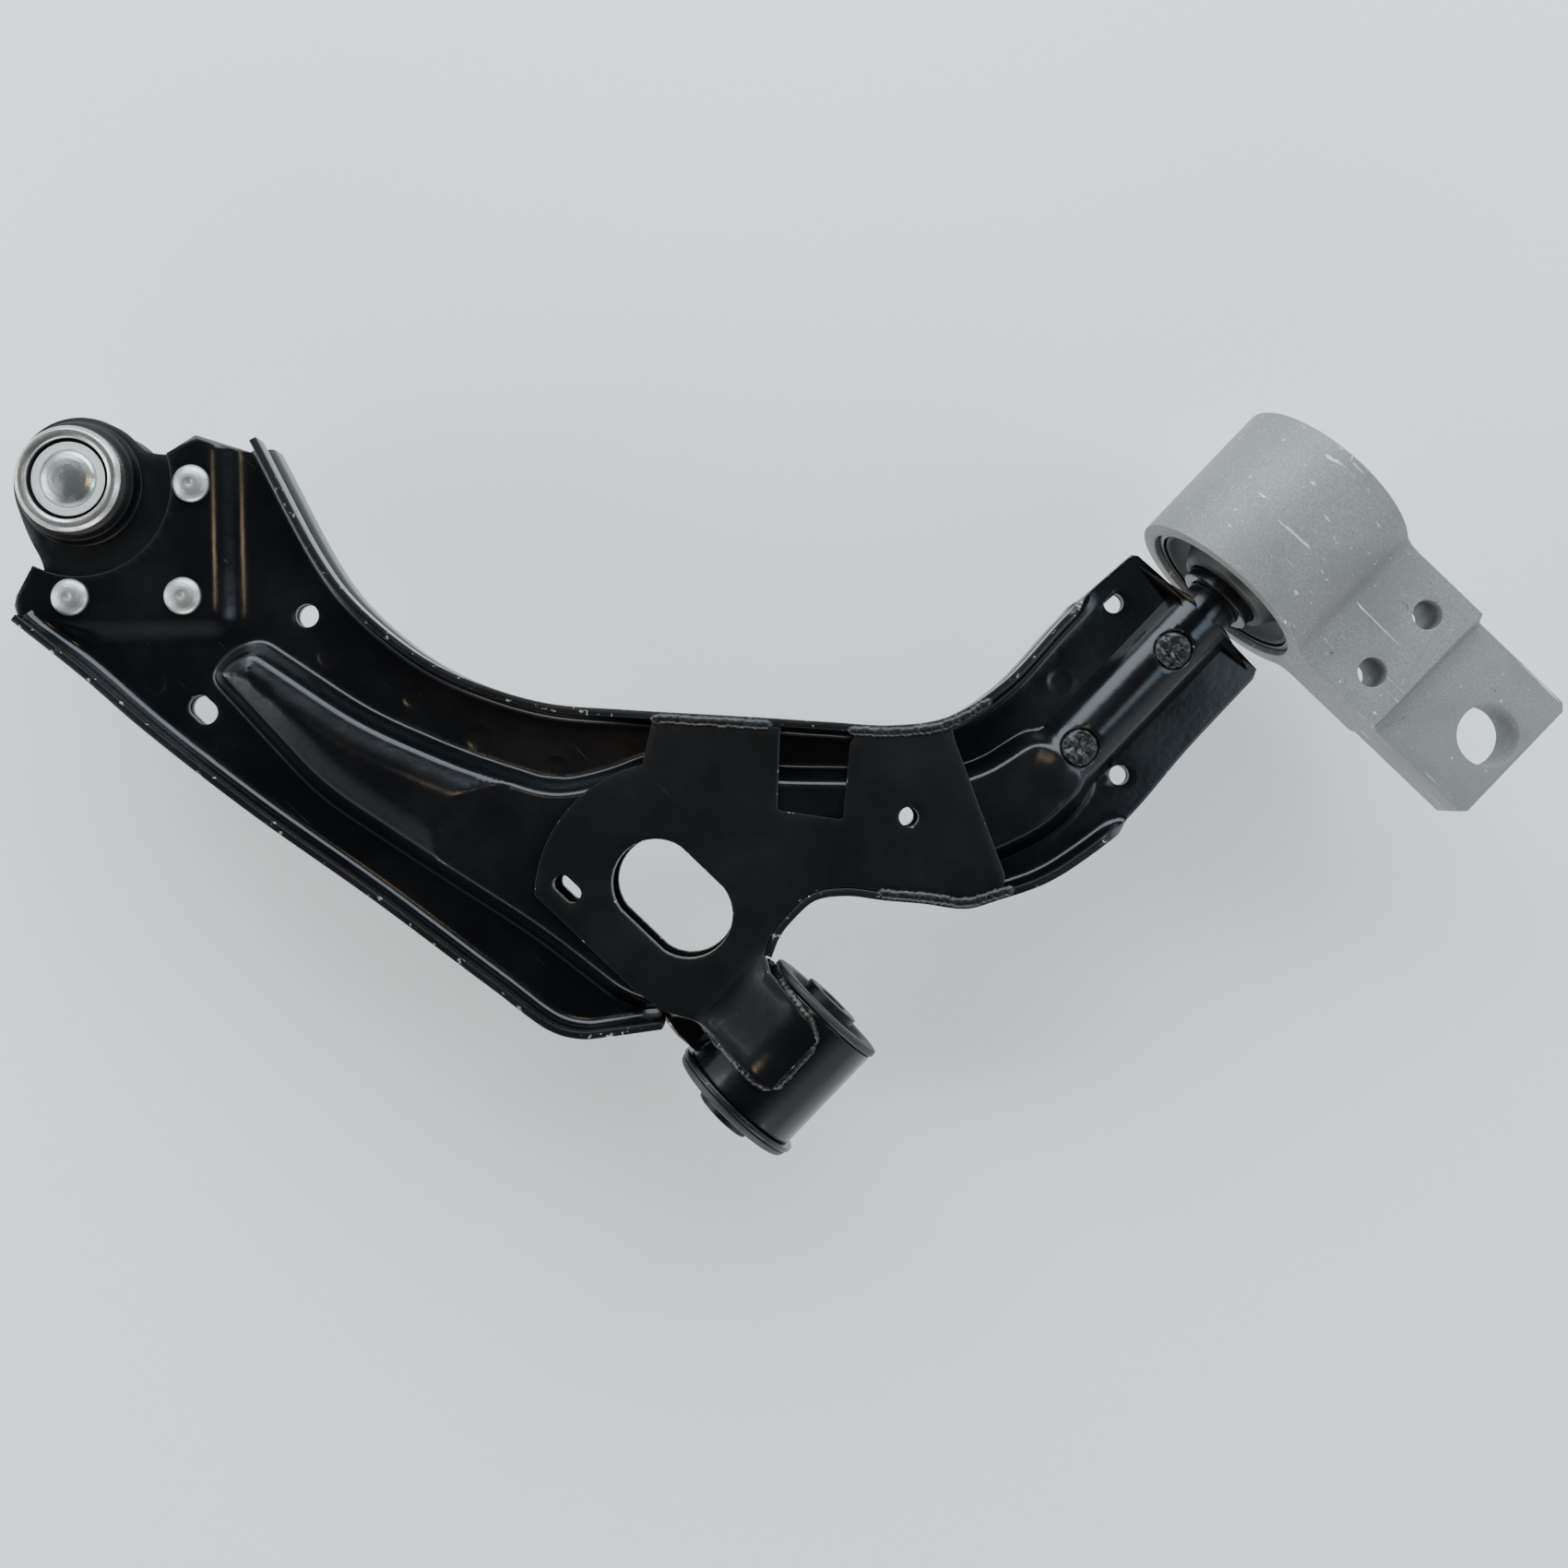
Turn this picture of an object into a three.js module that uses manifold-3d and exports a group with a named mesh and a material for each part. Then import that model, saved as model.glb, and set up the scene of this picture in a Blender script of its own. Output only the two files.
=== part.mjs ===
// Front lower control arm: two pressed shells, a riveted ball joint, a front bush in a welded
// sleeve and a rear bush in an aluminium bracket. Millimetres, +Z up. The origin is the centre of
// the front bush, +Y runs along the pivot axis from the rear bush to the front bush, and +X runs
// out to the ball joint.
import * as THREE from "three";
import { mergeVertices } from "three/addons/utils/BufferGeometryUtils.js";
import Module from "manifold-3d";

const wasm = await Module();
wasm.setup();

// ---- driving dimensions ----
const REACH = 349; // pivot axis to ball centre, along X
const BALL_LEAD = 27; // ball centre ahead of the front bush centre, along Y
const LEG = 236.7; // front bush centre to the square end of the rear leg
const CROTCH = 55; // front bush centre to the root of the crotch, along Y
const SHEET = 3; // pressed steel thickness
const FIT = 0.3; // gap left between pieces that touch
const RIM_TOP = 16; // edge of the upturned rim above the pivot plane
const RIDGE_TOP = 16.5; // crest of the ridge that runs out to the ball joint
const SEAT_TOP = 12.7; // top of the hat where the closing plate lies on it
const HAT_WALL = 8; // plan width of the slope round the hat
const HEAD_CUT = 36.5; // radius of the cut-out round the ball joint

const SLEEVE_R = 25.5; // welded front sleeve
const SLEEVE_WALL = 3;
const SLEEVE_BACK = -24;
const SLEEVE_FRONT = 22;
const BUSH_WALL = 2; // front bush outer shell
const LIP_R = 28; // flange of the front bush
const BUSH_LIP = 3; // rubber outside the flange
const CORE_R = 12; // front bush inner sleeve
const CORE_BORE_R = 6.25;
const CORE_BACK = -30.3;
const CORE_FRONT = 32.3;

const PIN_R = 11; // rear pin
const HOUSING_R = 39; // rear bracket housing
const HOUSING_WALL = 5.7;
const HOUSING_LENGTH = 60;
const HOUSING_STANDOFF = 11.5; // rear leg end to the housing face
const RING_WALL = 2.4; // rear bush outer ring
const REAR_CORE_R = 15; // rear bush inner sleeve
const BRACKET_TOP = 16;
const BRACKET_FOOT = -10;
const TONGUE_TOP = 10;
const BRACKET_REACH = 124.7; // pivot axis to the far end of the bracket
const STEP_X = 75; // pivot axis to the step between plate and tongue
const PLATE_HOLE_X = 60.1;
const PLATE_HOLE_PITCH = 30.2;
const PLATE_HOLE_R = 5.65;
const TONGUE_HOLE_R = 12;
const TONGUE_HOLE_X = 110.2;

const FLANGE_HALF = 4.6; // half the thickness of the ball joint's forged flange
const FLANGE_R = 25.6;
const BALL_R = 13;
const BALL_Z = -2;
const SEAT_WALL = 2.7;
const CAP = 2.4; // cover plate over the ball
const JACKET = 4.1; // wall of the ball joint housing
const WIRE = 0.8; // boot retainers
const STUD_END = -75;
const STUD_R = 9;
const RIVET_SHANK_R = 4;
const RIVET_HEAD_R = 7.25;
const RIVET_HEAD = 3.2;
const RIVET_RING = 44.3; // ball centre to the two outer rivets
const RIVET_INNER = 60; // ball centre to the inner rivet
const RIVET_SPREAD = 46.2; // degrees either side of the inner rivet
const RIVET_TURN = 177; // degrees, direction of the inner rivet
const RIVET_LAND = 9; // flange metal round each rivet

const SLOT = { length: 13, width: 8, x: 104, y: 8.3 };
const OVAL = { length: 13, width: 10 };
const BIG_HOLE = { length: 51.6, width: 34.5, x: 72.5, y: -16.7 };
const BOLT_HOLE_R = 4.9;
const LEG_HOLE_R = 4.2;
const WELD_R = 7.7; // plug welds
const PAD_R = 52; // rounded end of the closing plate, about the big hole

// ---- sizes that follow ----
const BAND_TOP = SHEET + FIT / 2;
const BAND_FOOT = FIT / 2;
const PLATE_FOOT = SEAT_TOP + FIT;
const PLATE_TOP = PLATE_FOOT + SHEET;
const HEAD_TOP = FLANGE_HALF + FIT + SHEET;
const REAR_Y = -(LEG + HOUSING_STANDOFF + HOUSING_LENGTH / 2);
const RIB_R = PIN_R + FIT + SHEET;
const TONGUE_R = SLEEVE_R + FIT + SHEET;
const SEAT_R = BALL_R + FIT + SEAT_WALL;
const ROUND = 32; // sides of a large turned piece
const SMALL_ROUND = 20; // sides of a small turned piece
const EVEN = 0.08; // flat runs of the pressings are evened out to this

// ---- solids ----
const solidOf = (geometry) => {
  const bare = geometry.index ? geometry.toNonIndexed() : geometry.clone();
  bare.deleteAttribute("normal");
  bare.deleteAttribute("uv");
  const merged = mergeVertices(bare, 1e-4);
  const index = merged.index.array;
  const spots = merged.attributes.position;
  const corner = [new THREE.Vector3(), new THREE.Vector3(), new THREE.Vector3()];
  const kept = [];
  let volume = 0;
  for (let i = 0; i < index.length; i += 3) {
    const [a, b, c] = [index[i], index[i + 1], index[i + 2]];
    if (a === b || b === c || a === c) continue;
    kept.push([a, b, c]);
    [a, b, c].forEach((spot, k) => corner[k].fromBufferAttribute(spots, spot));
    volume += corner[0].dot(corner[1].cross(corner[2]));
  }
  const facing = volume < 0 ? kept.map(([a, b, c]) => [a, c, b]) : kept;
  const mesh = new wasm.Mesh({
    numProp: 3,
    vertProperties: new Float32Array(spots.array),
    triVerts: new Uint32Array(facing.flat()),
  });
  return new wasm.Manifold(mesh);
};

const geometryOf = (solid) => {
  const mesh = solid.getMesh();
  const geometry = new THREE.BufferGeometry();
  geometry.setAttribute("position", new THREE.BufferAttribute(new Float32Array(mesh.vertProperties), 3));
  geometry.setIndex(new THREE.BufferAttribute(new Uint32Array(mesh.triVerts), 1));
  return geometry;
};

const join = (...solids) => solids.reduce((a, b) => a.add(b));
const cut = (solid, ...tools) => tools.reduce((a, b) => a.subtract(b), solid);

const shapeOf = (points) => new THREE.Shape(points.map(([x, y]) => new THREE.Vector2(x, y)));

// a prism from z0 to z1 over a plan outline
const prism = (points, z0, z1) => {
  const shape = points instanceof THREE.Shape ? points : shapeOf(points);
  const options = { depth: z1 - z0, bevelEnabled: false, curveSegments: SMALL_ROUND };
  const geometry = new THREE.ExtrudeGeometry(shape, options);
  geometry.translate(0, 0, z0);
  return solidOf(geometry);
};

// a prism from y0 to y1 over an outline drawn in X and Z
const prismY = (shape, y0, y1) => {
  const options = { depth: y1 - y0, bevelEnabled: false, curveSegments: ROUND };
  const geometry = new THREE.ExtrudeGeometry(shape, options);
  geometry.rotateX(Math.PI / 2);
  geometry.translate(0, y1, 0);
  return solidOf(geometry);
};

const lathe = (points, sides) => {
  const profile = points.map(([r, h]) => new THREE.Vector2(r, h));
  return new THREE.LatheGeometry(profile, sides);
};

// a turned piece about the Z line through (x, y); the profile gives radius and height
const turnZ = (points, x = 0, y = 0, sides = ROUND) => {
  const geometry = lathe(points, sides);
  geometry.rotateX(Math.PI / 2);
  geometry.translate(x, y, 0);
  return solidOf(geometry);
};

// a turned piece about the pivot axis; the profile gives radius and position along Y
const turnY = (points, sides = ROUND) => solidOf(lathe(points, sides));

const bar = (r, h0, h1) => [[0, h0], [r, h0], [r, h1], [0, h1]];
const rodZ = (r, z0, z1, x, y, sides = SMALL_ROUND) => turnZ(bar(r, z0, z1), x, y, sides);
const rodY = (r, y0, y1, sides = ROUND) => turnY(bar(r, y0, y1), sides);
const tubeY = (r1, r2, y0, y1) => turnY([[r1, y0], [r2, y0], [r2, y1], [r1, y1], [r1, y0]]);

// a long hole with its length along X
const slot = (length, width, x, y) => {
  const r = width / 2;
  const half = length / 2 - r;
  const shape = new THREE.Shape();
  shape.moveTo(x - half, y - r);
  shape.lineTo(x + half, y - r);
  shape.absarc(x + half, y, r, -Math.PI / 2, Math.PI / 2, false);
  shape.lineTo(x - half, y + r);
  shape.absarc(x - half, y, r, Math.PI / 2, (3 * Math.PI) / 2, false);
  return prism(shape, -2 * RIM_TOP, 2 * RIM_TOP);
};

// ---- plan stations ----
const arm = (f, offset) => [f * REACH, f * BALL_LEAD + offset]; // along the line to the ball
const head = (dx, dy) => [REACH + dx, BALL_LEAD + dy]; // from the ball centre
const leg = (x, t) => [x, -CROTCH - t * (LEG - CROTCH)]; // down the rear leg
const beside = (dx, y) => [SLEEVE_R + dx, y]; // out from the front sleeve

const smooth = (points, pieces) => {
  const corners = points.map(([x, y]) => new THREE.Vector3(x, y, 0));
  const path = new THREE.CatmullRomCurve3(corners, false, "centripetal");
  return path.getPoints(pieces).map((p) => [p.x, p.y]);
};

const FRONT_EDGE = smooth([
  head(-22, 53.8), arm(0.84, 55), arm(0.755, 55.8), arm(0.608, 54.5), arm(0.441, 50.3), arm(0.282, 47.8),
  [70.5, 51.5], [60.3, 45.6], beside(28, 37.8), beside(15.5, 22),
], 30);
const REAR_EDGE = smooth([
  head(-41, -61), arm(0.75, -38.9), arm(0.7, -34.1), arm(0.641, -32.4), arm(0.5745, -34.1), arm(0.513, -40.3),
  arm(0.4516, -50.3), arm(0.385, -67.5), arm(0.279, -96.2), arm(0.2175, -112.6), leg(57.4, 0.373),
  leg(44.7, 0.464), leg(38.6, 0.598), leg(38.9, 0.801), leg(36.2, 0.992),
], 46);
const CROTCH_EDGE = smooth([
  leg(-31.3, 0.98), leg(-31.7, 0.78), leg(-33.5, 0.571), leg(-30.2, 0.437), leg(-26, 0.352), leg(-17, 0.255),
  leg(-11.1, 0.201), leg(2.9, 0.1425), leg(13.6, 0.0947), leg(25.3, 0.046), beside(7.1, -54),
  beside(8.2, -43.9), beside(7.5, -35.2), beside(4.3, -27),
], 32);
const OUTLINE = [
  ...[...FRONT_EDGE].reverse(), head(-16, 48), head(-10, 35), head(-17, -31), head(-20.5, -44.8),
  ...REAR_EDGE,
  leg(34, 1), leg(-29.5, 1), ...CROTCH_EDGE,
  beside(0.5, -22), beside(-10.5, -22), beside(-10.5, 20.5), beside(8.5, 20.5),
];

// foot of the wall round the raised hat, and round the ridge that stands higher on it
const RIDGE_REAR = [arm(0.7565, 13.6), arm(0.739, 0.5), arm(0.594, -4.5), arm(0.486, -15.5)];
const RIDGE_FRONT = [arm(0.4287, 30.8), arm(0.5685, 36), arm(0.7507, 27.2)];
const RIDGE = [...RIDGE_REAR, arm(0.41, -25.5), arm(0.4, 29.5), ...RIDGE_FRONT];
const HAT = [
  ...RIDGE_REAR, arm(0.392, -28.9), arm(0.36, -44.9), arm(0.339, -60.8), arm(0.228, -87.2),
  arm(0.175, -103.1),
  leg(26.2, 0.417), leg(18.4, 0.61), leg(-17, 0.61), leg(-19, 0.45), leg(-9, 0.3), leg(4, 0.2), leg(20, 0.13),
  [36, -66], [43, -54], [42, -32], [32, -20], [8, -20], [8, 12], [34, 12], [45, 22], [60, 28.5],
  arm(0.286, 24.8), ...RIDGE_FRONT,
];
const HEAD_POINT = 85; // ball centre to the point of the raised head
const HEAD_RUN = 8; // plan width of the ramp round it
const BEYOND = 3 * LIP_R; // far enough out to be trimmed by the outline
const HEAD = [
  head(-HEAD_POINT, 0), head(BEYOND - HEAD_POINT, BEYOND), head(BEYOND, BEYOND), head(BEYOND, -BEYOND),
  head(BEYOND - HEAD_POINT, -BEYOND),
];

// an outline moved inward by a distance, corner by corner
const inset = (points, distance) => {
  const count = points.length;
  const turn = Math.sign(THREE.ShapeUtils.area(points.map(([x, y]) => new THREE.Vector2(x, y))));
  return points.map(([x, y], i) => {
    const [ax, ay] = points[(i + count - 1) % count];
    const [bx, by] = points[(i + 1) % count];
    const before = Math.hypot(x - ax, y - ay);
    const after = Math.hypot(bx - x, by - y);
    const [nx, ny] = [(-turn * (y - ay)) / before, (turn * (x - ax)) / before];
    const [mx, my] = [(-turn * (by - y)) / after, (turn * (bx - x)) / after];
    const reach = distance / (1 + nx * mx + ny * my);
    return [x + reach * (nx + mx), y + reach * (ny + my)];
  });
};

// a solid between one outline at z0 and another with as many corners at z1
const frustum = (foot, top, z0, z1) => {
  const flat = foot.map(([x, y]) => new THREE.Vector2(x, y));
  const out = [];
  const face = (...corners) => corners.forEach(([x, y, z]) => out.push(x, y, z));
  const low = foot.map(([x, y]) => [x, y, z0]);
  const high = top.map(([x, y]) => [x, y, z1]);
  THREE.ShapeUtils.triangulateShape(flat, []).forEach(([a, b, c]) => {
    face(low[a], low[c], low[b]);
    face(high[a], high[b], high[c]);
  });
  const turn = THREE.ShapeUtils.area(flat) > 0;
  foot.forEach((_, i) => {
    const j = (i + 1) % foot.length;
    const [p, q] = turn ? [i, j] : [j, i];
    face(low[p], low[q], high[q]);
    face(low[p], high[q], high[p]);
  });
  const geometry = new THREE.BufferGeometry();
  geometry.setAttribute("position", new THREE.BufferAttribute(new Float32Array(out), 3));
  return solidOf(geometry);
};

// a raised area with a sloping wall that climbs from the band over a plan width
const hill = (foot, top, run) => {
  const rate = run / (top - BAND_TOP);
  const at = (z, extra) => inset(foot, (z - BAND_TOP) * rate + extra);
  const skin = SHEET * Math.hypot(1, rate);
  return {
    outer: frustum(at(BAND_FOOT, 0), at(top, 0), BAND_FOOT, top),
    hollow: frustum(at(-1, skin), at(top - SHEET, skin), -1, top - SHEET),
  };
};

// points moved square to an open path, to its left for a positive distance
const shifted = (path, distance) => path.map(([x, y], i) => {
  const [ax, ay] = path[Math.max(0, i - 1)];
  const [bx, by] = path[Math.min(path.length - 1, i + 1)];
  const size = Math.hypot(bx - ax, by - ay);
  return [x - (distance * (by - ay)) / size, y + (distance * (bx - ax)) / size];
});

const rim = (path, side) => prism([...path, ...shifted(path, side * SHEET).reverse()], BAND_FOOT, RIM_TOP);

// ---- ball joint layout ----
const [BALL_X, BALL_Y] = head(0, 0);
const RIVETS = [
  ["rivet_front", RIVET_RING, RIVET_TURN - RIVET_SPREAD],
  ["rivet_rear", RIVET_RING, RIVET_TURN + RIVET_SPREAD],
  ["rivet_inner", RIVET_INNER, RIVET_TURN],
].map(([name, distance, turn]) => {
  const angle = THREE.MathUtils.degToRad(turn);
  return { name, x: BALL_X + distance * Math.cos(angle), y: BALL_Y + distance * Math.sin(angle) };
});

const circle = (r, x, y, sides = SMALL_ROUND) => {
  const points = [];
  for (let i = 0; i < sides; i += 1) {
    const angle = (2 * Math.PI * i) / sides;
    points.push([x + r * Math.cos(angle), y + r * Math.sin(angle)]);
  }
  return points;
};

// the outline of a band stretched round some points
const stretched = (points) => {
  const sorted = [...points].sort((p, q) => p[0] - q[0] || p[1] - q[1]);
  const half = (list) => {
    const chain = [];
    for (const p of list) {
      while (chain.length > 1) {
        const [a, b] = chain.slice(-2);
        if ((b[0] - a[0]) * (p[1] - a[1]) - (b[1] - a[1]) * (p[0] - a[0]) > 0) break;
        chain.pop();
      }
      chain.push(p);
    }
    return chain.slice(0, -1);
  };
  return [...half(sorted), ...half(sorted.reverse())];
};

const flange = (extra) => prism(stretched([
  ...circle(FLANGE_R + extra, BALL_X, BALL_Y, ROUND),
  ...RIVETS.flatMap(({ x, y }) => circle(RIVET_LAND + extra, x, y)),
]), -FLANGE_HALF - extra, FLANGE_HALF + extra);

// ---- holes in the pressings ----
const [BOLT_X, BOLT_Y] = arm(0.719, -16.2);
const [OVAL_X, OVAL_Y] = arm(0.73, 37.8);
const LEG_HOLES = [leg(28.2, 0.891), leg(-19.5, 0.634)];
const PLATE_HOLE = [29, -101.5];
const WELD_STATIONS = [0.61, 0.894]; // plug welds down the rear leg

const holes = () => [
  slot(BIG_HOLE.length, BIG_HOLE.width, BIG_HOLE.x, BIG_HOLE.y),
  slot(SLOT.length, SLOT.width, SLOT.x, SLOT.y),
  slot(OVAL.length, OVAL.width, OVAL_X, OVAL_Y),
  rodZ(BOLT_HOLE_R, -HOUSING_R, HOUSING_R, BOLT_X, BOLT_Y),
  rodZ(LEG_HOLE_R, -HOUSING_R, HOUSING_R, ...PLATE_HOLE),
  ...LEG_HOLES.map(([x, y]) => rodZ(LEG_HOLE_R, -HOUSING_R, HOUSING_R, x, y)),
  ...RIVETS.map(({ x, y }) => rodZ(RIVET_SHANK_R + FIT, -HOUSING_R, HOUSING_R, x, y)),
];

// ---- upper and lower shells ----
const PIN_INNER = leg(0, 0.516)[1]; // end of the pin held between the shells
const hills = [
  hill(HAT, SEAT_TOP, HAT_WALL),
  hill(RIDGE, RIDGE_TOP, (HAT_WALL * (RIDGE_TOP - BAND_TOP)) / (SEAT_TOP - BAND_TOP)),
  hill(HEAD, HEAD_TOP, HEAD_RUN),
];
const blank = prism(OUTLINE, 0, 2 * RIM_TOP);
const raised = join(prism(OUTLINE, BAND_FOOT, BAND_TOP), ...hills.map((h) => h.outer.intersect(blank)));
const pressed = cut(raised, ...hills.map((h) => h.hollow));

// half-round rib that wraps the pin
const ribShape = new THREE.Shape();
ribShape.moveTo(RIB_R, BAND_FOOT);
ribShape.absarc(0, BAND_FOOT, RIB_R, 0, Math.PI, false);
ribShape.lineTo(-RIB_R + SHEET, BAND_FOOT);
ribShape.absarc(0, BAND_FOOT, RIB_R - SHEET, Math.PI, 0, true);
const rib = prismY(ribShape, -LEG, PIN_INNER + SHEET);
const ribEnd = PIN_INNER + FIT;
const ribHalf = RIB_R - 1;
const ribSpace = prism([
  [-ribHalf, -LEG - 1], [ribHalf, -LEG - 1], [ribHalf, ribEnd], [-ribHalf, ribEnd],
], -HOUSING_R, HOUSING_R);

const rims = [
  rim(FRONT_EDGE, 1),
  rim(REAR_EDGE.slice(0, -3), -1),
  rim(CROTCH_EDGE.slice(6), -1),
];

const shell = cut(
  join(cut(pressed, ribSpace), rib, ...rims),
  rodZ(HEAD_CUT, -HOUSING_R, HOUSING_R, BALL_X, BALL_Y, 2 * ROUND),
  rodY(SLEEVE_R + FIT, -CROTCH, HOUSING_R, 2 * ROUND),
  rodY(PIN_R + FIT, -LEG - 1, PIN_INNER + FIT),
  flange(FIT),
  ...holes(),
);

const weldWells = WELD_STATIONS.map((t) => rodZ(WELD_R + FIT, 0, 2 * RIB_R, ...leg(0, t)));
const upperShell = cut(shell, ...weldWells).simplify(EVEN);
const lowerShell = shell.mirror([0, 0, 1]).simplify(EVEN);

// ---- closing plate, wrapped up over the front sleeve ----
const WRAP = THREE.MathUtils.degToRad(25); // where the wrap leaves the sleeve
const WRAP_TIP = THREE.MathUtils.degToRad(-6);
const wrapRun = (r, level) => {
  const x = r * Math.sin(WRAP);
  return x + (r * Math.cos(WRAP) - level) / Math.tan(WRAP);
};
const plateShape = new THREE.Shape();
plateShape.moveTo(REACH, PLATE_FOOT);
plateShape.lineTo(REACH, PLATE_TOP);
plateShape.lineTo(wrapRun(TONGUE_R, PLATE_TOP), PLATE_TOP);
plateShape.absarc(0, 0, TONGUE_R, Math.PI / 2 - WRAP, Math.PI / 2 - WRAP_TIP, false);
plateShape.absarc(0, 0, TONGUE_R - SHEET, Math.PI / 2 - WRAP_TIP, Math.PI / 2 - WRAP, true);
plateShape.lineTo(wrapRun(TONGUE_R - SHEET, PLATE_FOOT), PLATE_FOOT);

const padArc = [];
for (let degrees = -34; degrees <= 42; degrees += 7.6) {
  const angle = THREE.MathUtils.degToRad(degrees);
  padArc.push([BIG_HOLE.x + PAD_R * Math.cos(angle), BIG_HOLE.y + PAD_R * Math.sin(angle)]);
}
const platePlan = [
  arm(0.37, -78), ...padArc, [60, 18], [45, 16], [34, 10], [4, 9], [-8, 6], [-8, -15], [4, -20], [24, -22],
  [32, -27], leg(-32, 0.13), leg(-13, 0.304), leg(10, 0.365), leg(38, 0.44),
  leg(52, 0.5), arm(0.1855, -125), arm(0.1855, -112), [45.8, -83.3], [67, -68.2], arm(0.251, -98),
  arm(0.262, -115),
];
const inner = [
  ...[...shifted(FRONT_EDGE, SHEET + FIT)].reverse(), head(5, 0), ...shifted(REAR_EDGE, -SHEET - FIT),
  ...shifted(CROTCH_EDGE, -SHEET - FIT), beside(1.5, -22), [-20, -22], [-20, 20], beside(8.5, 20),
];
const above = 2 * TONGUE_R;
const closingPlate = cut(
  prismY(plateShape, -LEG, LEG / 2).intersect(prism(platePlan, 0, above)).intersect(prism(inner, 0, above)),
  slot(BIG_HOLE.length, BIG_HOLE.width, BIG_HOLE.x, BIG_HOLE.y),
  slot(SLOT.length, SLOT.width, SLOT.x, SLOT.y),
  rodZ(LEG_HOLE_R, -HOUSING_R, HOUSING_R, ...PLATE_HOLE),
).simplify(EVEN);

const plugWeld = (t) => turnZ([
  [0, PIN_R + FIT], [WELD_R, PIN_R + FIT], [WELD_R, RIB_R], [WELD_R * 0.7, RIB_R + 0.9], [0, RIB_R + 0.5],
], ...leg(0, t), SMALL_ROUND);

// ---- front sleeve and bush ----
const bushR = SLEEVE_R - SLEEVE_WALL - FIT;
const rubberR = bushR - BUSH_WALL - FIT;
const frontSleeve = tubeY(SLEEVE_R - SLEEVE_WALL, SLEEVE_R, SLEEVE_BACK, SLEEVE_FRONT);
const flangeBack = SLEEVE_FRONT + FIT;
const flangeFront = flangeBack + BUSH_WALL;
const bushShell = turnY([
  [rubberR + FIT, SLEEVE_BACK], [bushR, SLEEVE_BACK], [bushR, flangeBack], [LIP_R, flangeBack],
  [LIP_R, flangeFront],
  [rubberR + FIT, flangeFront], [rubberR + FIT, SLEEVE_BACK],
]);
const lipBack = SLEEVE_BACK - FIT;
const lipFront = flangeFront + FIT;
const dipBack = SLEEVE_BACK + 3; // both ends of the rubber are hollowed between its core and its rim
const dipFront = SLEEVE_FRONT - 3;
const bushRubber = turnY([
  [CORE_R + FIT, SLEEVE_BACK - 1], [CORE_R + 4, dipBack], [rubberR - 3, dipBack],
  [rubberR - 1, lipBack - BUSH_LIP],
  [SLEEVE_R + 0.5, lipBack - BUSH_LIP], [SLEEVE_R + 0.5, lipBack], [rubberR, lipBack], [rubberR, lipFront],
  [LIP_R - 0.5, lipFront], [LIP_R - 1.5, lipFront + BUSH_LIP], [rubberR - 1, lipFront + BUSH_LIP],
  [rubberR - 3, dipFront], [CORE_R + 4, dipFront], [CORE_R + FIT, SLEEVE_FRONT + 1],
  [CORE_R + FIT, SLEEVE_BACK - 1],
]);
const frontCore = tubeY(CORE_BORE_R, CORE_R, CORE_BACK, CORE_FRONT);

// ---- rear pin, bush and bracket ----
const faceY = REAR_Y + HOUSING_LENGTH / 2;
const backY = REAR_Y - HOUSING_LENGTH / 2;
const pinEnd = backY - 6;
const CHAMFER = 2;
const rearPin = turnY([
  [0, pinEnd], [PIN_R - CHAMFER, pinEnd], [PIN_R, pinEnd + CHAMFER], [PIN_R, PIN_INNER - CHAMFER],
  [PIN_R - CHAMFER, PIN_INNER], [0, PIN_INNER],
]);
const rearCore = tubeY(PIN_R + FIT, REAR_CORE_R, backY - 3, faceY + 3);
const ringR = HOUSING_R - HOUSING_WALL;
const rearRing = tubeY(ringR - FIT - RING_WALL, ringR - FIT, backY + 2, faceY - 2);
const rearRubberR = ringR - RING_WALL - 2 * FIT;
const midR = (rearRubberR + REAR_CORE_R) / 2;
const DISH = 9;
const rearRubber = turnY([
  [REAR_CORE_R + FIT, backY + 1], [REAR_CORE_R + 4, backY + 2], [midR, backY + DISH],
  [rearRubberR, backY + 3], [rearRubberR, faceY - 3], [midR, faceY - DISH], [REAR_CORE_R + 4, faceY - 2],
  [REAR_CORE_R + FIT, faceY - 1], [REAR_CORE_R + FIT, backY + 1],
]);

const FILLET = 5;
const FILLET_TURN = 0.13; // radians of the housing that the fillet takes up
const joinAngle = Math.asin(BRACKET_TOP / HOUSING_R);
const footAngle = Math.asin(BRACKET_FOOT / HOUSING_R);
const footEnd = footAngle - FILLET_TURN;
const STEP_RUN = 3; // plan width of the step down to the tongue
const bracketShape = new THREE.Shape();
bracketShape.moveTo(-BRACKET_REACH, BRACKET_FOOT);
bracketShape.lineTo(-HOUSING_R * Math.cos(footAngle) - FILLET, BRACKET_FOOT);
bracketShape.lineTo(-HOUSING_R * Math.cos(footEnd), HOUSING_R * Math.sin(footEnd));
bracketShape.absarc(0, 0, HOUSING_R, Math.PI - footEnd, 3 * Math.PI - joinAngle - FILLET_TURN, false);
bracketShape.lineTo(-HOUSING_R * Math.cos(joinAngle) - FILLET, BRACKET_TOP);
bracketShape.lineTo(-STEP_X, BRACKET_TOP);
bracketShape.lineTo(-STEP_X - STEP_RUN, TONGUE_TOP);
bracketShape.lineTo(-BRACKET_REACH, TONGUE_TOP);
const CORNER = 4; // cut corners at the end of the tongue
const NECK = 1; // how much narrower the tongue is on each side
const half = HOUSING_LENGTH / 2;
const bracketSide = [
  [HOUSING_R + 1, half], [-STEP_X, half], [-STEP_X - 2, half - NECK], [CORNER - BRACKET_REACH, half - NECK],
  [-BRACKET_REACH, half - CORNER],
];
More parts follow.
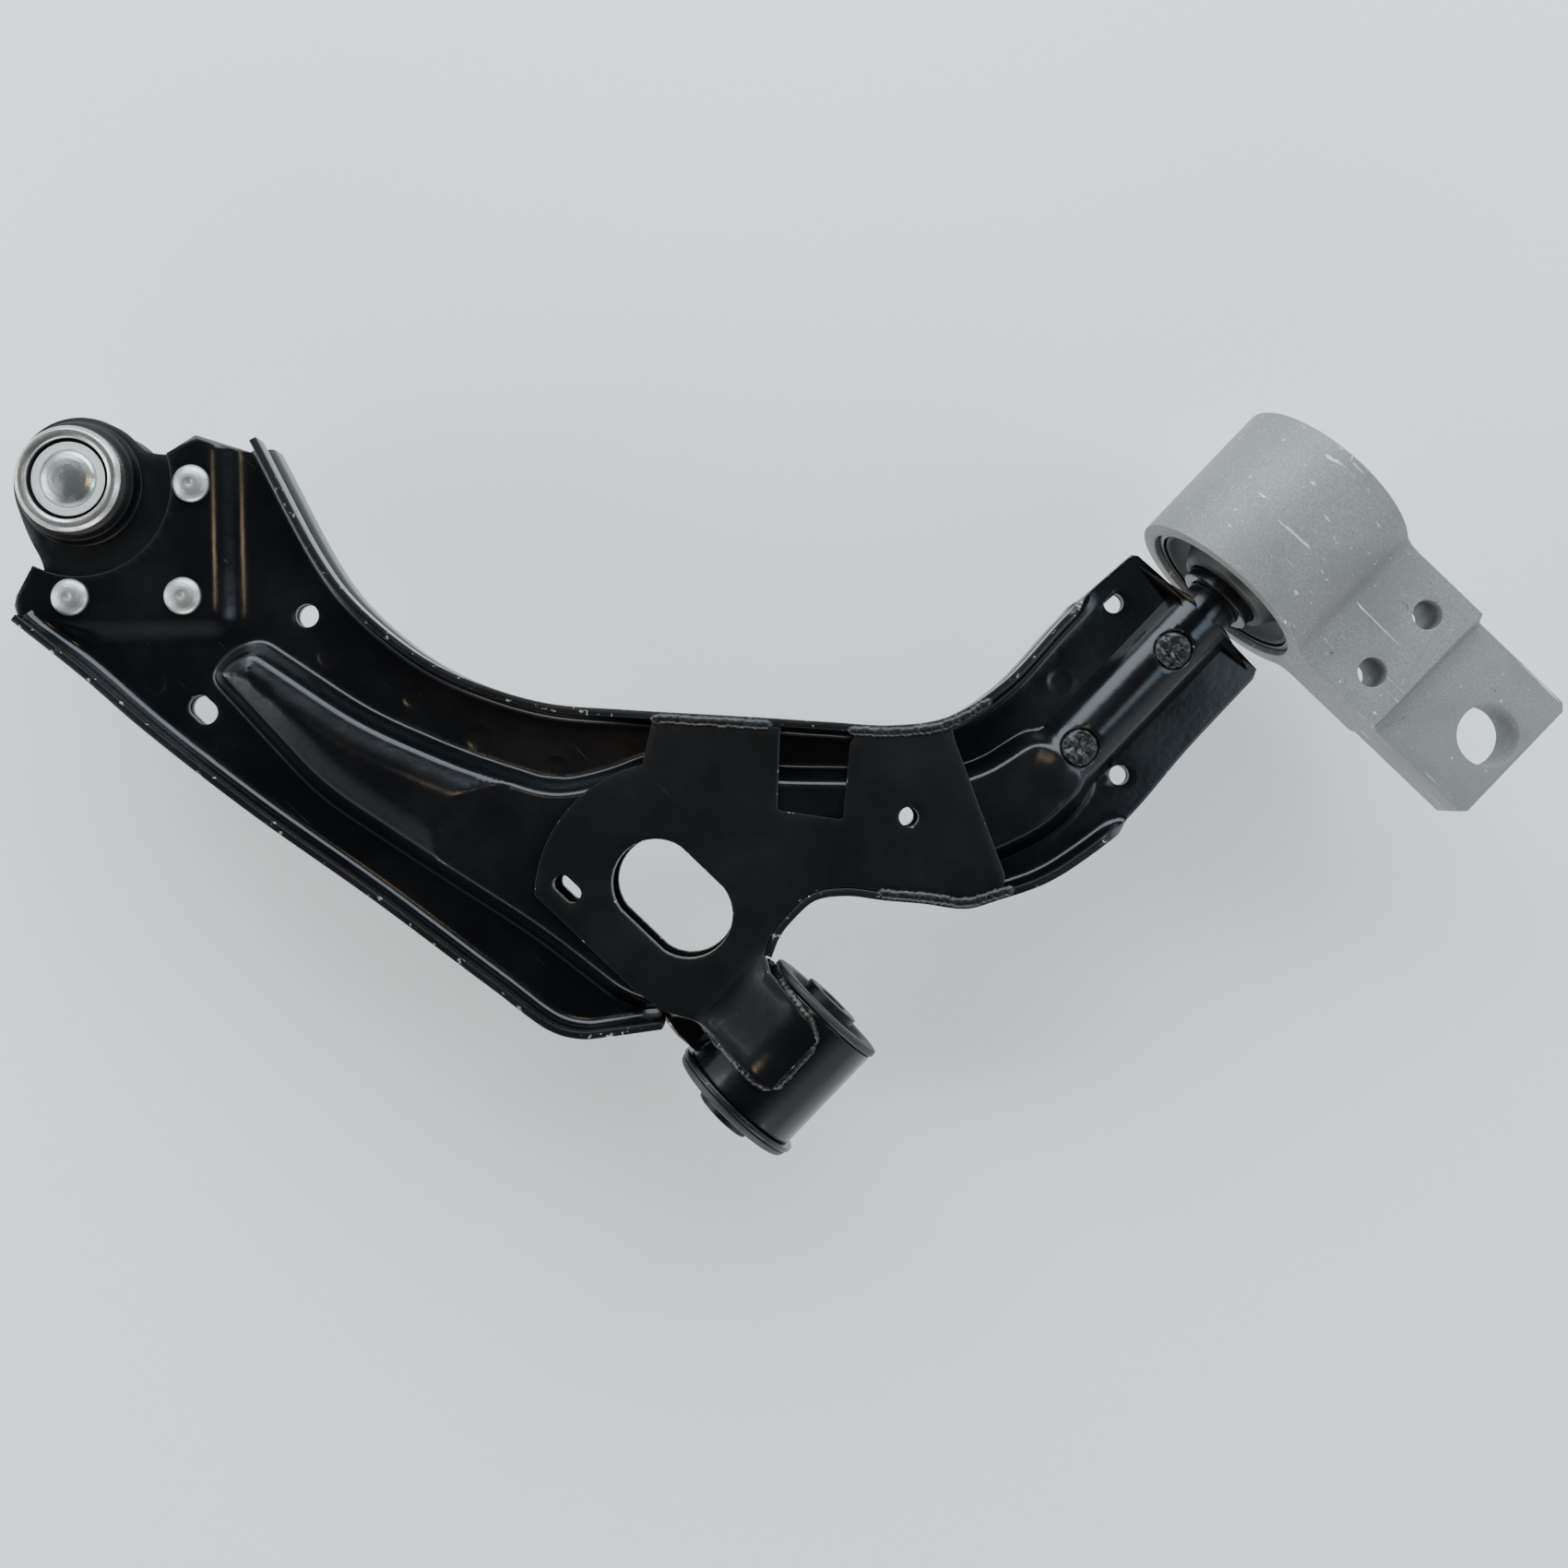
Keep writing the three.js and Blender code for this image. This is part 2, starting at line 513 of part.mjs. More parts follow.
const bracketPlan = [
  ...bracketSide.map(([x, y]) => [x, REAR_Y - y]), ...bracketSide.reverse().map(([x, y]) => [x, REAR_Y + y]),
];
const boltHole = (r, x, y) => rodZ(r, -HOUSING_R, HOUSING_R, x, y, r > PLATE_HOLE_R ? ROUND : SMALL_ROUND);
const rearBracket = cut(
  prismY(bracketShape, backY, faceY).intersect(prism(bracketPlan, -HOUSING_R - 1, HOUSING_R + 1)),
  rodY(ringR, backY - 1, faceY + 1),
  boltHole(PLATE_HOLE_R, -PLATE_HOLE_X, REAR_Y + PLATE_HOLE_PITCH / 2),
  boltHole(PLATE_HOLE_R, -PLATE_HOLE_X, REAR_Y - PLATE_HOLE_PITCH / 2),
  boltHole(TONGUE_HOLE_R, -TONGUE_HOLE_X, REAR_Y),
);

// ---- ball joint ----
const arc = (r, z, from, to, pieces) => {
  const points = [];
  for (let i = 0; i <= pieces; i += 1) {
    const angle = THREE.MathUtils.degToRad(from + ((to - from) * i) / pieces);
    points.push([r * Math.cos(angle), z + r * Math.sin(angle)]);
  }
  return points;
};
const cavity = BALL_R + FIT;
const seatTop = BALL_Z + cavity + 1.2;
const seatFoot = BALL_Z - 0.6 * cavity;
const mouth = THREE.MathUtils.radToDeg(Math.asin((seatFoot - BALL_Z) / cavity));
const ballSeat = turnZ([
  ...arc(cavity, BALL_Z, mouth, 90, 9), [0, seatTop], [SEAT_R, seatTop], [SEAT_R, seatFoot],
  arc(cavity, BALL_Z, mouth, mouth, 1)[0],
], BALL_X, BALL_Y);

const bore = SEAT_R + FIT;
const jacketR = bore + JACKET;
const capFoot = seatTop + FIT;
const capR = bore + 1.2;
const lipFoot = capFoot + CAP + FIT;
const rimTop = lipFoot + 1.6; // metal rolled over the cap
const collarFoot = BALL_Z - cavity - 2.2;
const grooveTop = collarFoot + 6;
const housingBody = turnZ([
  [bore, seatFoot - FIT], [bore, capFoot - FIT], [capR + FIT, capFoot - FIT], [capR + FIT, lipFoot],
  [bore - 1, lipFoot], [bore - 0.4, rimTop], [jacketR - 1.4, rimTop], [jacketR, rimTop - 1.6],
  [jacketR, seatTop - 2], [jacketR + 2.6, seatTop - 3], [jacketR + 3, FLANGE_HALF + 1.5],
  [jacketR + 4.6, FLANGE_HALF], [jacketR + 4.6, -FLANGE_HALF], [jacketR + 2, -FLANGE_HALF - 2],
  [jacketR + 2, grooveTop], [jacketR, grooveTop], [jacketR, collarFoot + 2], [jacketR + 1.6, collarFoot + 2],
  [jacketR + 1.6, collarFoot], [bore - 1.7, collarFoot], [bore - 5.4, seatFoot - FIT], [bore, seatFoot - FIT],
], BALL_X, BALL_Y);
const middle = rodZ(jacketR + 3.8, -FLANGE_HALF - 1, FLANGE_HALF + 1, BALL_X, BALL_Y, ROUND);
const flangeRing = cut(flange(0), middle);
const rivetHoles = RIVETS.map(({ x, y }) => rodZ(RIVET_SHANK_R + FIT, -HOUSING_R, HOUSING_R, x, y));
const ballHousing = cut(join(housingBody, flangeRing), ...rivetHoles);

const domeR = bore - 5.8;
const ballCap = turnZ([
  [0, capFoot], [capR, capFoot], [capR, capFoot + CAP], [domeR + 1.5, capFoot + CAP],
  [domeR, capFoot + CAP + 0.5], [domeR * 0.8, capFoot + CAP + 1.3], [domeR * 0.45, capFoot + CAP + 1.8],
  [0, capFoot + CAP + 2],
], BALL_X, BALL_Y);

const neckAngle = -60;
const shoulderR = STUD_R + 1;
const shoulderZ = collarFoot - 22.5;
const grooveZ = (shoulderZ + STUD_END) / 2 - 2.5; // pinch bolt groove
const ballStud = turnZ([
  [0, STUD_END], [STUD_R - 2, STUD_END], [STUD_R, STUD_END + 2], [STUD_R, grooveZ - 4.5],
  [STUD_R - 1.8, grooveZ - 2.5], [STUD_R - 1.8, grooveZ + 2.5], [STUD_R, grooveZ + 4.5],
  [STUD_R, shoulderZ], [shoulderR, shoulderZ + 1],
  [shoulderR, shoulderZ + 7], [STUD_R - 2, shoulderZ + 18], ...arc(BALL_R, BALL_Z, neckAngle, 90, 12),
].map(([r, z], i, all) => [i === all.length - 1 ? 0 : r, z]), BALL_X, BALL_Y);

const bootTop = grooveTop - FIT;
const bootFoot = shoulderZ + 1.6;
const bootOuter = [
  [jacketR + 2.2, bootTop], [jacketR + 2.2, bootTop - 3], [jacketR + 3.7, bootTop - 4],
  [jacketR + 4, bootTop - 6.5], [jacketR + 4.8, bootTop - 10], [jacketR + 3, bootTop - 14.5],
  [jacketR - 1.8, bootTop - 18.4], [jacketR - 5.4, bootTop - 20.8], [shoulderR + 3.6, bootFoot + 4],
  [shoulderR + 3.4, bootFoot],
];
const bootInner = [
  [shoulderR + 1.2, bootFoot], [shoulderR + 1.2, bootFoot + 5], [shoulderR + 3.6, bootTop - 18.9],
  [jacketR - 2.8, bootTop - 16.6], [jacketR + 1.2, bootTop - 13.4], [jacketR + 3, bootTop - 9.8],
  [jacketR + 2.2, bootTop - 7.1], [jacketR + 1.9, bootTop - 6.3], [jacketR + 1.9, bootTop - 3.4],
  [jacketR + FIT, bootTop - 3.4], [jacketR + FIT, bootTop],
];
const dustBoot = turnZ([...bootOuter, ...bootInner, bootOuter[0]], BALL_X, BALL_Y);

const ring = (radius, z) => {
  const geometry = new THREE.TorusGeometry(radius + WIRE + FIT, WIRE, 6, ROUND);
  geometry.translate(BALL_X, BALL_Y, z);
  return solidOf(geometry);
};
const retainerLarge = ring(jacketR + 2.2, bootTop - 1.7);
const retainerSmall = ring(shoulderR + 3.5, bootFoot + 2);

const rivet = ({ x, y }) => {
  const top = HEAD_TOP + FIT;
  const dome = (s) => [
    [RIVET_SHANK_R, s * top], [RIVET_HEAD_R, s * top], [RIVET_HEAD_R, s * (top + 1)],
    [RIVET_HEAD_R * 0.8, s * (top + 0.8 * RIVET_HEAD)], [0, s * (top + RIVET_HEAD)],
  ];
  return turnZ([...dome(-1).reverse(), ...dome(1)], x, y, SMALL_ROUND);
};

// ---- materials ----
const finish = (color, roughness, metalness) => (
  new THREE.MeshStandardMaterial({ color, roughness, metalness })
);
const blackPaint = () => finish(0x111316, 0.32, 0.3);
const rubber = () => finish(0x16171a, 0.8, 0);
const bareSteel = () => finish(0x9a9a98, 0.38, 0.9);
const zinc = () => finish(0xb9b9b0, 0.42, 0.85);
const castAluminium = () => finish(0xa3a6a4, 0.6, 0.7);
const nylon = () => finish(0xd8d4c4, 0.5, 0);

const part = new THREE.Group();
part.name = "control_arm";
const place = (name, solid, material) => {
  const mesh = new THREE.Mesh(geometryOf(solid), material);
  mesh.name = name;
  part.add(mesh);
};

place("upper_shell", upperShell, blackPaint());
place("lower_shell", lowerShell, blackPaint());
place("closing_plate", closingPlate, blackPaint());
WELD_STATIONS.forEach((t, i) => place(["plug_weld_inner", "plug_weld_outer"][i], plugWeld(t), blackPaint()));
place("front_sleeve", frontSleeve, blackPaint());
place("front_bush_outer_shell", bushShell, blackPaint());
place("front_bush_rubber", bushRubber, rubber());
place("front_bush_inner_sleeve", frontCore, bareSteel());
place("rear_pin", rearPin, blackPaint());
place("rear_bush_inner_sleeve", rearCore, blackPaint());
place("rear_bush_rubber", rearRubber, rubber());
place("rear_bush_outer_ring", rearRing, blackPaint());
place("rear_bracket", rearBracket, castAluminium());
place("ball_joint_housing", ballHousing, blackPaint());
place("ball_joint_cap", ballCap, zinc());
place("ball_seat", ballSeat, nylon());
place("ball_stud", ballStud, bareSteel());
place("dust_boot", dustBoot, rubber());
place("boot_retainer_large", retainerLarge, bareSteel());
place("boot_retainer_small", retainerSmall, bareSteel());
RIVETS.forEach((at) => place(at.name, rivet(at), zinc()));

export default part;
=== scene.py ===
"""Suspension control arm: detailed pieces and finishes over the packed frame. Sizes are millimetres
in the helpers and metres in the scene."""

import math

import bmesh
import bpy
import numpy as np
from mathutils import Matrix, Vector, kdtree, noise
from mathutils.geometry import delaunay_2d_cdt


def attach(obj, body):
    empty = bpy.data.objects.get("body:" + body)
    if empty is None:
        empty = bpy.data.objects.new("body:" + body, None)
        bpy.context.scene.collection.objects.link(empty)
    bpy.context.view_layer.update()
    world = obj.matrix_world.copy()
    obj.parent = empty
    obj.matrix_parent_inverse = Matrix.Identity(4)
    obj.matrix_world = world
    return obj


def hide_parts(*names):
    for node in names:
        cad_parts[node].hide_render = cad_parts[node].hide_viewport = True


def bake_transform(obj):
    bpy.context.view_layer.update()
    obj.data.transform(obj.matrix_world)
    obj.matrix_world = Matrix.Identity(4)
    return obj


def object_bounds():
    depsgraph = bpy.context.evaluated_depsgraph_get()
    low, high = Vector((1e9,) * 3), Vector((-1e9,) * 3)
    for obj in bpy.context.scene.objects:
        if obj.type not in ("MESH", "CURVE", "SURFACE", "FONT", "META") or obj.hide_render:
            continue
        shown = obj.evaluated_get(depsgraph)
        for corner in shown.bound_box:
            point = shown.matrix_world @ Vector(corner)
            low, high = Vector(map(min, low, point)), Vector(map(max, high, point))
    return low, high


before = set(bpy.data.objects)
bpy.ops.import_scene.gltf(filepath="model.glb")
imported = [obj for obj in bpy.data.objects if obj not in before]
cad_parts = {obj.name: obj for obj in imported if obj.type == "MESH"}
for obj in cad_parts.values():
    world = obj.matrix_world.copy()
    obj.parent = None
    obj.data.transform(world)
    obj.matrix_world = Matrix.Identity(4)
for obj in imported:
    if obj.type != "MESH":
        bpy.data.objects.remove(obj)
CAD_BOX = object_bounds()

bl_info = {
    "name": "Suspension Control Arm",
    "version": (1, 0, 0),
    "blender": (4, 5, 0),
    "location": "View3D > Sidebar > Control Arm",
    "description": "Builds the pressed shells, bushes, bracket and ball joint of a control arm",
    "category": "Object",
}

MM = 0.001

# ---- layout, as in the solid model ----
REACH, BALL_LEAD, LEG, CROTCH = 349.0, 27.0, 236.7, 55.0
BALL_Z = -2.0
FLANGE_R = 25.6
GAP = 0.3
BAND_TOP, SEAT_TOP, RIDGE_TOP, HEAD_TOP = 3.15, 12.7, 16.5, 7.9
PIN_R, RIB_R, WELD_R = 11.0, 14.3, 7.7
SLEEVE_R, SLEEVE_WALL, SLEEVE_BACK, SLEEVE_FRONT = 25.5, 3.0, -24.0, 22.0
PLATE_TOP, TONGUE_R, WRAP = 16.0, 28.8, math.radians(25)
HEAD_CUT = 36.5
RAMP = 21.66  # plan run of the closing plate from the sleeve down to the hat
LARGE_HOLE = (72.5, -16.7)
LEG_HOLE_R = 4.2
LIP_R = 28.0
CORE_BACK, CORE_FRONT = -30.3, 32.3
PIN_INNER = -CROTCH - 0.516 * (LEG - CROTCH)
REAR_FACE, REAR_BACK = -248.2, -308.2
REAR_Y = (REAR_FACE + REAR_BACK) / 2


def arm(f, offset):
    return (f * REACH, f * BALL_LEAD + offset)


def head(dx, dy):
    return (REACH + dx, BALL_LEAD + dy)


def leg(x, t):
    return (x, -CROTCH - t * (LEG - CROTCH))


def beside(dx, y):
    return (SLEEVE_R + dx, y)


FRONT_STATIONS = [
    head(-22, 53.8), arm(0.84, 55), arm(0.755, 55.8), arm(0.608, 54.5), arm(0.441, 50.3), arm(0.282, 47.8),
    (70.5, 51.5), (60.3, 45.6), beside(28, 37.8), beside(15.5, 22),
]
REAR_STATIONS = [
    head(-41, -61), arm(0.75, -38.9), arm(0.7, -34.1), arm(0.641, -32.4), arm(0.5745, -34.1),
    arm(0.513, -40.3), arm(0.4516, -50.3), arm(0.385, -67.5), arm(0.279, -96.2), arm(0.2175, -112.6),
    leg(57.4, 0.373), leg(44.7, 0.464), leg(38.6, 0.598), leg(38.9, 0.801), leg(36.2, 0.992),
]
CROTCH_STATIONS = [
    leg(-31.3, 0.98), leg(-31.7, 0.78), leg(-33.5, 0.571), leg(-30.2, 0.437), leg(-26, 0.352),
    leg(-17, 0.255), leg(-11.1, 0.201), leg(2.9, 0.1425), leg(13.6, 0.0947), leg(25.3, 0.046),
    beside(7.1, -54), beside(8.2, -43.9), beside(7.5, -35.2), beside(4.3, -27),
]
RIDGE_REAR = [arm(0.7565, 13.6), arm(0.739, 0.5), arm(0.594, -4.5), arm(0.486, -15.5)]
RIDGE_FRONT = [arm(0.4287, 30.8), arm(0.5685, 36), arm(0.7507, 27.2)]
RIDGE = [*RIDGE_REAR, arm(0.41, -25.5), arm(0.4, 29.5), *RIDGE_FRONT]
HAT = [
    *RIDGE_REAR, arm(0.392, -28.9), arm(0.36, -44.9), arm(0.339, -60.8), arm(0.228, -87.2),
    arm(0.175, -103.1), leg(26.2, 0.417), leg(18.4, 0.61), leg(-17, 0.61), leg(-19, 0.45), leg(-9, 0.3),
    leg(4, 0.2), leg(20, 0.13),
    (36, -66), (43, -54), (42, -32), (32, -20), (8, -20), (8, 12), (34, 12), (45, 22), (60, 28.5),
    arm(0.286, 24.8), *RIDGE_FRONT,
]
HEAD = [head(-85, 0), head(0, 85), head(85, 85), head(85, -85), head(0, -85)]
SPOT_WELDS = [
    (234, 8.8), (198.9, -2.6), (170.2, -8.3), (140.4, -20.5), (275.1, 63), (22.5, -180.2), (244, 66),
    (150, 62),
]
WELD_STATIONS = (0.61, 0.894)
PLATE_STATIONS = [
    (60, 18), (45, 16), (34, 10), (4, 9), (-8, 6), (-8, -15), (4, -20), (24, -22), (32, -27),
    leg(-32, 0.13), leg(-13, 0.304), leg(10, 0.365), leg(38, 0.44), leg(52, 0.5),
    arm(0.1855, -125), arm(0.1855, -112), (45.8, -83.3), (67, -68.2), arm(0.251, -98), arm(0.262, -115),
]
RIVETS = {
    name: head(r * math.cos(math.radians(a)), r * math.sin(math.radians(a)))
    for name, r, a in (("front", 44.3, 130.8), ("rear", 44.3, 223.2), ("inner", 60, 177))
}


# ---- plan geometry ----
def unit(v):
    return v / np.maximum(np.linalg.norm(v, axis=-1, keepdims=True), 1e-12)


def smooth(stations, step):
    """A flowing path through the stations, with a corner every step or so."""
    p = [np.array(q, float) for q in stations]
    p = [2 * p[0] - p[1], *p, 2 * p[-1] - p[-2]]
    out = []
    for i in range(1, len(p) - 2):
        a, b, c, d = p[i - 1 : i + 3]
        ab, bc, cd = (np.linalg.norm(v - u) ** 0.5 for u, v in ((a, b), (b, c), (c, d)))
        leave = ((b - a) / ab - (c - a) / (ab + bc) + (c - b) / bc) * bc
        arrive = ((c - b) / bc - (d - b) / (bc + cd) + (d - c) / cd) * bc
        count = max(2, round(np.linalg.norm(c - b) / step))
        for k in range(count):
            t = k / count
            u = t * t * (3 - 2 * t)
            out.append(b * (1 - u) + c * u + leave * (t - 2 * t * t + t**3) + arrive * (t**3 - t * t))
    return np.array([*out, p[-2]])


def shifted(path, distance):
    """A path moved square to itself, to its left for a positive distance."""
    along = unit(np.gradient(path, axis=0))
    return path + distance * np.stack([-along[:, 1], along[:, 0]], 1)


def rounded(loop, radius, pieces=6):
    """A closed outline with its corners turned into curves. radius may be one value or one per corner."""
    loop = np.array(loop, float)
    radius = np.broadcast_to(radius, len(loop))
    out = []
    for i, p in enumerate(loop):
        a, b = loop[i - 1] - p, loop[(i + 1) % len(loop)] - p
        la, lb = np.linalg.norm(a), np.linalg.norm(b)
        cut = min(radius[i], 0.45 * la, 0.45 * lb)
        if cut < 0.01:
            out.append(p)
            continue
        s, e = p + a / la * cut, p + b / lb * cut
        for k in range(pieces + 1):
            t = k / pieces
            out.append(s * (1 - t) ** 2 + 2 * p * t * (1 - t) + e * t * t)
    return np.array(out)


def resampled(loop, step):
    """A closed outline with corners evenly spaced along it."""
    loop = np.vstack([loop, loop[:1]])
    run = np.concatenate([[0], np.cumsum(np.linalg.norm(np.diff(loop, axis=0), axis=1))])
    at = np.linspace(0, run[-1], max(8, round(run[-1] / step)), endpoint=False)
    return np.stack([np.interp(at, run, loop[:, 0]), np.interp(at, run, loop[:, 1])], 1)


def circle(r, x=0.0, y=0.0, sides=32):
    turn = np.arange(sides) * 2 * math.pi / sides
    return np.stack([x + r * np.cos(turn), y + r * np.sin(turn)], 1)


def long_hole(length, width, x, y):
    """A hole with round ends, its length along X."""
    r, half = width / 2, (length - width) / 2
    ends = circle(r, sides=40)
    return np.array([(x + math.copysign(half, px) + px, y + py) for px, py in ends if abs(px) > 1e-9])


def within(points, loop):
    """Which points lie inside a closed outline."""
    a, b = loop, np.roll(loop, -1, 0)
    x, y = points[:, :1], points[:, 1:2]
    crosses = (a[:, 1] > y) != (b[:, 1] > y)
    rise = np.where(np.abs(b[:, 1] - a[:, 1]) < 1e-12, 1e-12, b[:, 1] - a[:, 1])
    return (crosses & (x < (b[:, 0] - a[:, 0]) * (y - a[:, 1]) / rise + a[:, 0])).sum(1) % 2 == 1


def reach_to(points, loop, closed=True):
    """Distance from each point to the nearest place on an outline."""
    a, b = (loop, np.roll(loop, -1, 0)) if closed else (loop[:-1], loop[1:])
    d = b - a
    size = np.maximum((d * d).sum(1), 1e-12)
    out = np.full(len(points), 1e9)
    for first in range(0, len(points), 4000):
        w = points[first : first + 4000, None] - a[None]
        t = np.clip((w * d).sum(2) / size, 0, 1)
        out[first : first + 4000] = np.linalg.norm(w - t[..., None] * d, axis=2).min(1)
    return out


def depth(points, loop):
    """How far inside a closed outline each point lies, negative outside it."""
    return reach_to(points, loop) * np.where(within(points, loop), 1, -1)


def ease(t):
    t = np.clip(t, 0, 1)
    return t * t * (3 - 2 * t)


def blended(a, b, width):
    """The higher of two surfaces, with a fillet where they meet."""
    near = np.maximum(width - np.abs(a - b), 0) / width
    return np.maximum(a, b) + near * near * width / 4


def thinned(first, more, spacing):
    """first, and those of more that keep their distance from the ones kept before them."""
    cells, kept = {}, []

    def cell(p):
        return int(p[0] // spacing), int(p[1] // spacing)

    for p in first:
        cells.setdefault(cell(p), []).append(p)
        kept.append(p)
    for p in more:
        i, j = cell(p)
        near = (q for di in (-1, 0, 1) for dj in (-1, 0, 1) for q in cells.get((i + di, j + dj), ()))
        if all((p[0] - q[0]) ** 2 + (p[1] - q[1]) ** 2 > spacing**2 for q in near):
            cells.setdefault((i, j), []).append(p)
            kept.append(p)
    return np.array(kept)


def plan_mesh(inside, outside, spacing, extra=()):
    """Corners and triangles of the plan inside every outline of inside and outside every one of outside."""
    loops = [*inside, *outside]
    low, high = inside[0].min(0), inside[0].max(0)
    gx, gy = np.meshgrid(np.arange(low[0], high[0], spacing), np.arange(low[1], high[1], spacing * 0.866))
    gx[1::2] += spacing / 2
    grid = np.stack([gx.ravel(), gy.ravel()], 1)

    def usable(points, margin):
        keep = np.ones(len(points), bool)
        for loop in inside:
            keep &= depth(points, loop) > margin
        for loop in outside:
            keep &= depth(points, loop) < -margin
        return points[keep]

    fine = usable(np.array(extra, float), 0.45) if len(extra) else np.zeros((0, 2))
    fine = thinned([], fine, 0.55)
    points = thinned(fine, usable(grid, spacing * 0.55), spacing * 0.62)
    corners, edges = [], []
    for loop in loops:
        start = len(corners)
        corners += [Vector(p) for p in loop]
        edges += [(start + i, start + (i + 1) % len(loop)) for i in range(len(loop))]
    made = delaunay_2d_cdt(corners + [Vector(p) for p in points], edges, [], 0, 1e-5)
    spots = np.array([tuple(v) for v in made[0]])
    triangles = np.array(made[2])
    middle = spots[triangles].mean(1)
    keep = np.ones(len(triangles), bool)
    for loop in inside:
        keep &= within(middle, loop)
    for loop in outside:
        keep &= ~within(middle, loop)
    triangles = triangles[keep]
    used, triangles = np.unique(triangles, return_inverse=True)
    return spots[used], triangles.reshape(-1, 3)


def sheet_body(top, faces, thickness, edge):
    """Closes an open sheet. The underside lies the thickness below, and each free edge is rounded by edge.
    Returns corners, faces and the material number of each face: 1 on the cut edges."""
    top = np.asarray(top, float)
    normal = np.zeros_like(top)
    sides = {}
    for face in faces:
        a, b, c = top[face[0]], top[face[1]], top[face[2]]
        n = np.cross(b - a, c - a)
        for k, corner in enumerate(face):
            normal[corner] += n
            sides[(corner, face[(k + 1) % len(face)])] = True
    normal = unit(normal)
    count = len(top)
    free = [(a, b) for a, b in sides if (b, a) not in sides]
    outward = {}
    for a, b in free:
        n = normal[a] + normal[b]
        side = unit(np.cross(top[b] - top[a], n))
        for corner in (a, b):
            outward[corner] = outward.get(corner, 0) + side
    corners = [*top, *(top - thickness * normal)]
    made = [tuple(f) for f in faces] + [tuple(count + c for c in reversed(f)) for f in faces]
    slots = [0] * len(made)
    rows = {}
    for corner, side in outward.items():
        o, n, p = unit(side), normal[corner], top[corner]
        rows[corner] = [corner]
        for out, down in ((0.6, 0.2), (1.0, 1.0), (1.0, thickness / edge - 1), (0.6, thickness / edge - 0.2)):
            rows[corner].append(len(corners))
            corners.append(p + edge * (out * o - down * n))
        rows[corner].append(count + corner)
    for a, b in free:
        for k in range(5):
            made.append((rows[b][k], rows[a][k], rows[a][k + 1], rows[b][k + 1]))
            slots.append(1)
    return np.array(corners), made, slots


def band(low, high, sides, flip=False):
    """Faces between two rings of corners, each known by the number of its first corner."""
    faces = []
    for k in range(sides):
        m = (k + 1) % sides
        a, b, c, d = low + k, low + m, high + m, high + k
        faces.append((a, d, c, b) if flip else (a, b, c, d))
    return faces


def turned(profile, sides=96, rounding=0.3):
    """A turned solid about Z from a closed profile of radius and height, as corners and faces."""
    loop = rounded(profile, [0 if r < 0.01 else rounding for r, _ in profile], 3)
    turn = np.arange(sides) * 2 * math.pi / sides
    corners = [(r * math.cos(a), r * math.sin(a), z) for r, z in loop for a in turn]
    area = sum(loop[i - 1][0] * loop[i][1] - loop[i][0] * loop[i - 1][1] for i in range(len(loop)))
    faces = []
    for i in range(len(loop)):
        j = (i + 1) % len(loop)
        if loop[i][0] >= 0.01 or loop[j][0] >= 0.01:
            ring = band(i * sides, j * sides, sides)
            faces += ring if area > 0 else [face[::-1] for face in ring]
    return np.array(corners), faces


def along_y(corners, faces):
    """The same turned solid about Y: height becomes the place along Y."""
    return np.stack([corners[:, 1], corners[:, 2], corners[:, 0]], 1), faces


def moved(body, x, y, z=0.0):
    """The same body at another place."""
    return body[0] + np.array([x, y, z]), body[1]


def joined(*bodies):
    """Several bodies as one list of corners and faces."""
    corners, faces, start = [], [], 0
    for body, made in bodies:
        corners.append(body)
        faces += [tuple(start + c for c in f) for f in made]
        start += len(body)
    return np.vstack(corners), faces


def piece(name, corners, faces, finishes, body="arm", stands_for=(), slot=None, slots=None, sharp=38):
    """Makes the object, shades it smooth up to an angle, dresses it and fastens it to its body."""
    mesh = bpy.data.meshes.new(name)
    points = [tuple(MM * c for c in p) for p in corners]
    mesh.from_pydata(points, [], [tuple(int(c) for c in f) for f in faces])
    for finish in finishes:
        mesh.materials.append(finish)
    if slots is not None:
        mesh.polygons.foreach_set("material_index", list(slots))
    shape = bmesh.new()
    shape.from_mesh(mesh)
    bmesh.ops.remove_doubles(shape, verts=shape.verts, dist=2e-6)
    bmesh.ops.dissolve_degenerate(shape, edges=shape.edges, dist=1e-7)
    bmesh.ops.recalc_face_normals(shape, faces=shape.faces)
    for face in shape.faces:
        face.smooth = True
    shape.to_mesh(mesh)
    shape.free()
    mesh.set_sharp_from_angle(angle=math.radians(sharp))
    if not mesh.polygons:
        raise RuntimeError(f"{name} has no faces")
    thing = bpy.data.objects.new(name, mesh)
    bpy.context.scene.collection.objects.link(thing)
    if body:
        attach(thing, body)
    if stands_for:
        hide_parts(*stands_for)
    return thing


def turned_pieces(*rows):
    """Turned pieces about the line of the bushes, each of which stands for one solid of the frame."""
    for name, profile, curve, key, body, node, slot in rows:
        corners, faces = along_y(*turned(profile, 112, curve))
        piece(name, corners, faces, [finish_of(key)], body, [node], slot)


# ---- the shape of a pressing ----
FRONT_RIM, REAR_RIM, CROTCH_RIM = (smooth(s, 2.2) for s in (FRONT_STATIONS, REAR_STATIONS, CROTCH_STATIONS))
HAT_LOOP = rounded(HAT, 14)
RIDGE_LOOP = rounded(RIDGE, 12)
HEAD_LOOP = rounded(HEAD, [10, 0, 0, 0, 0])


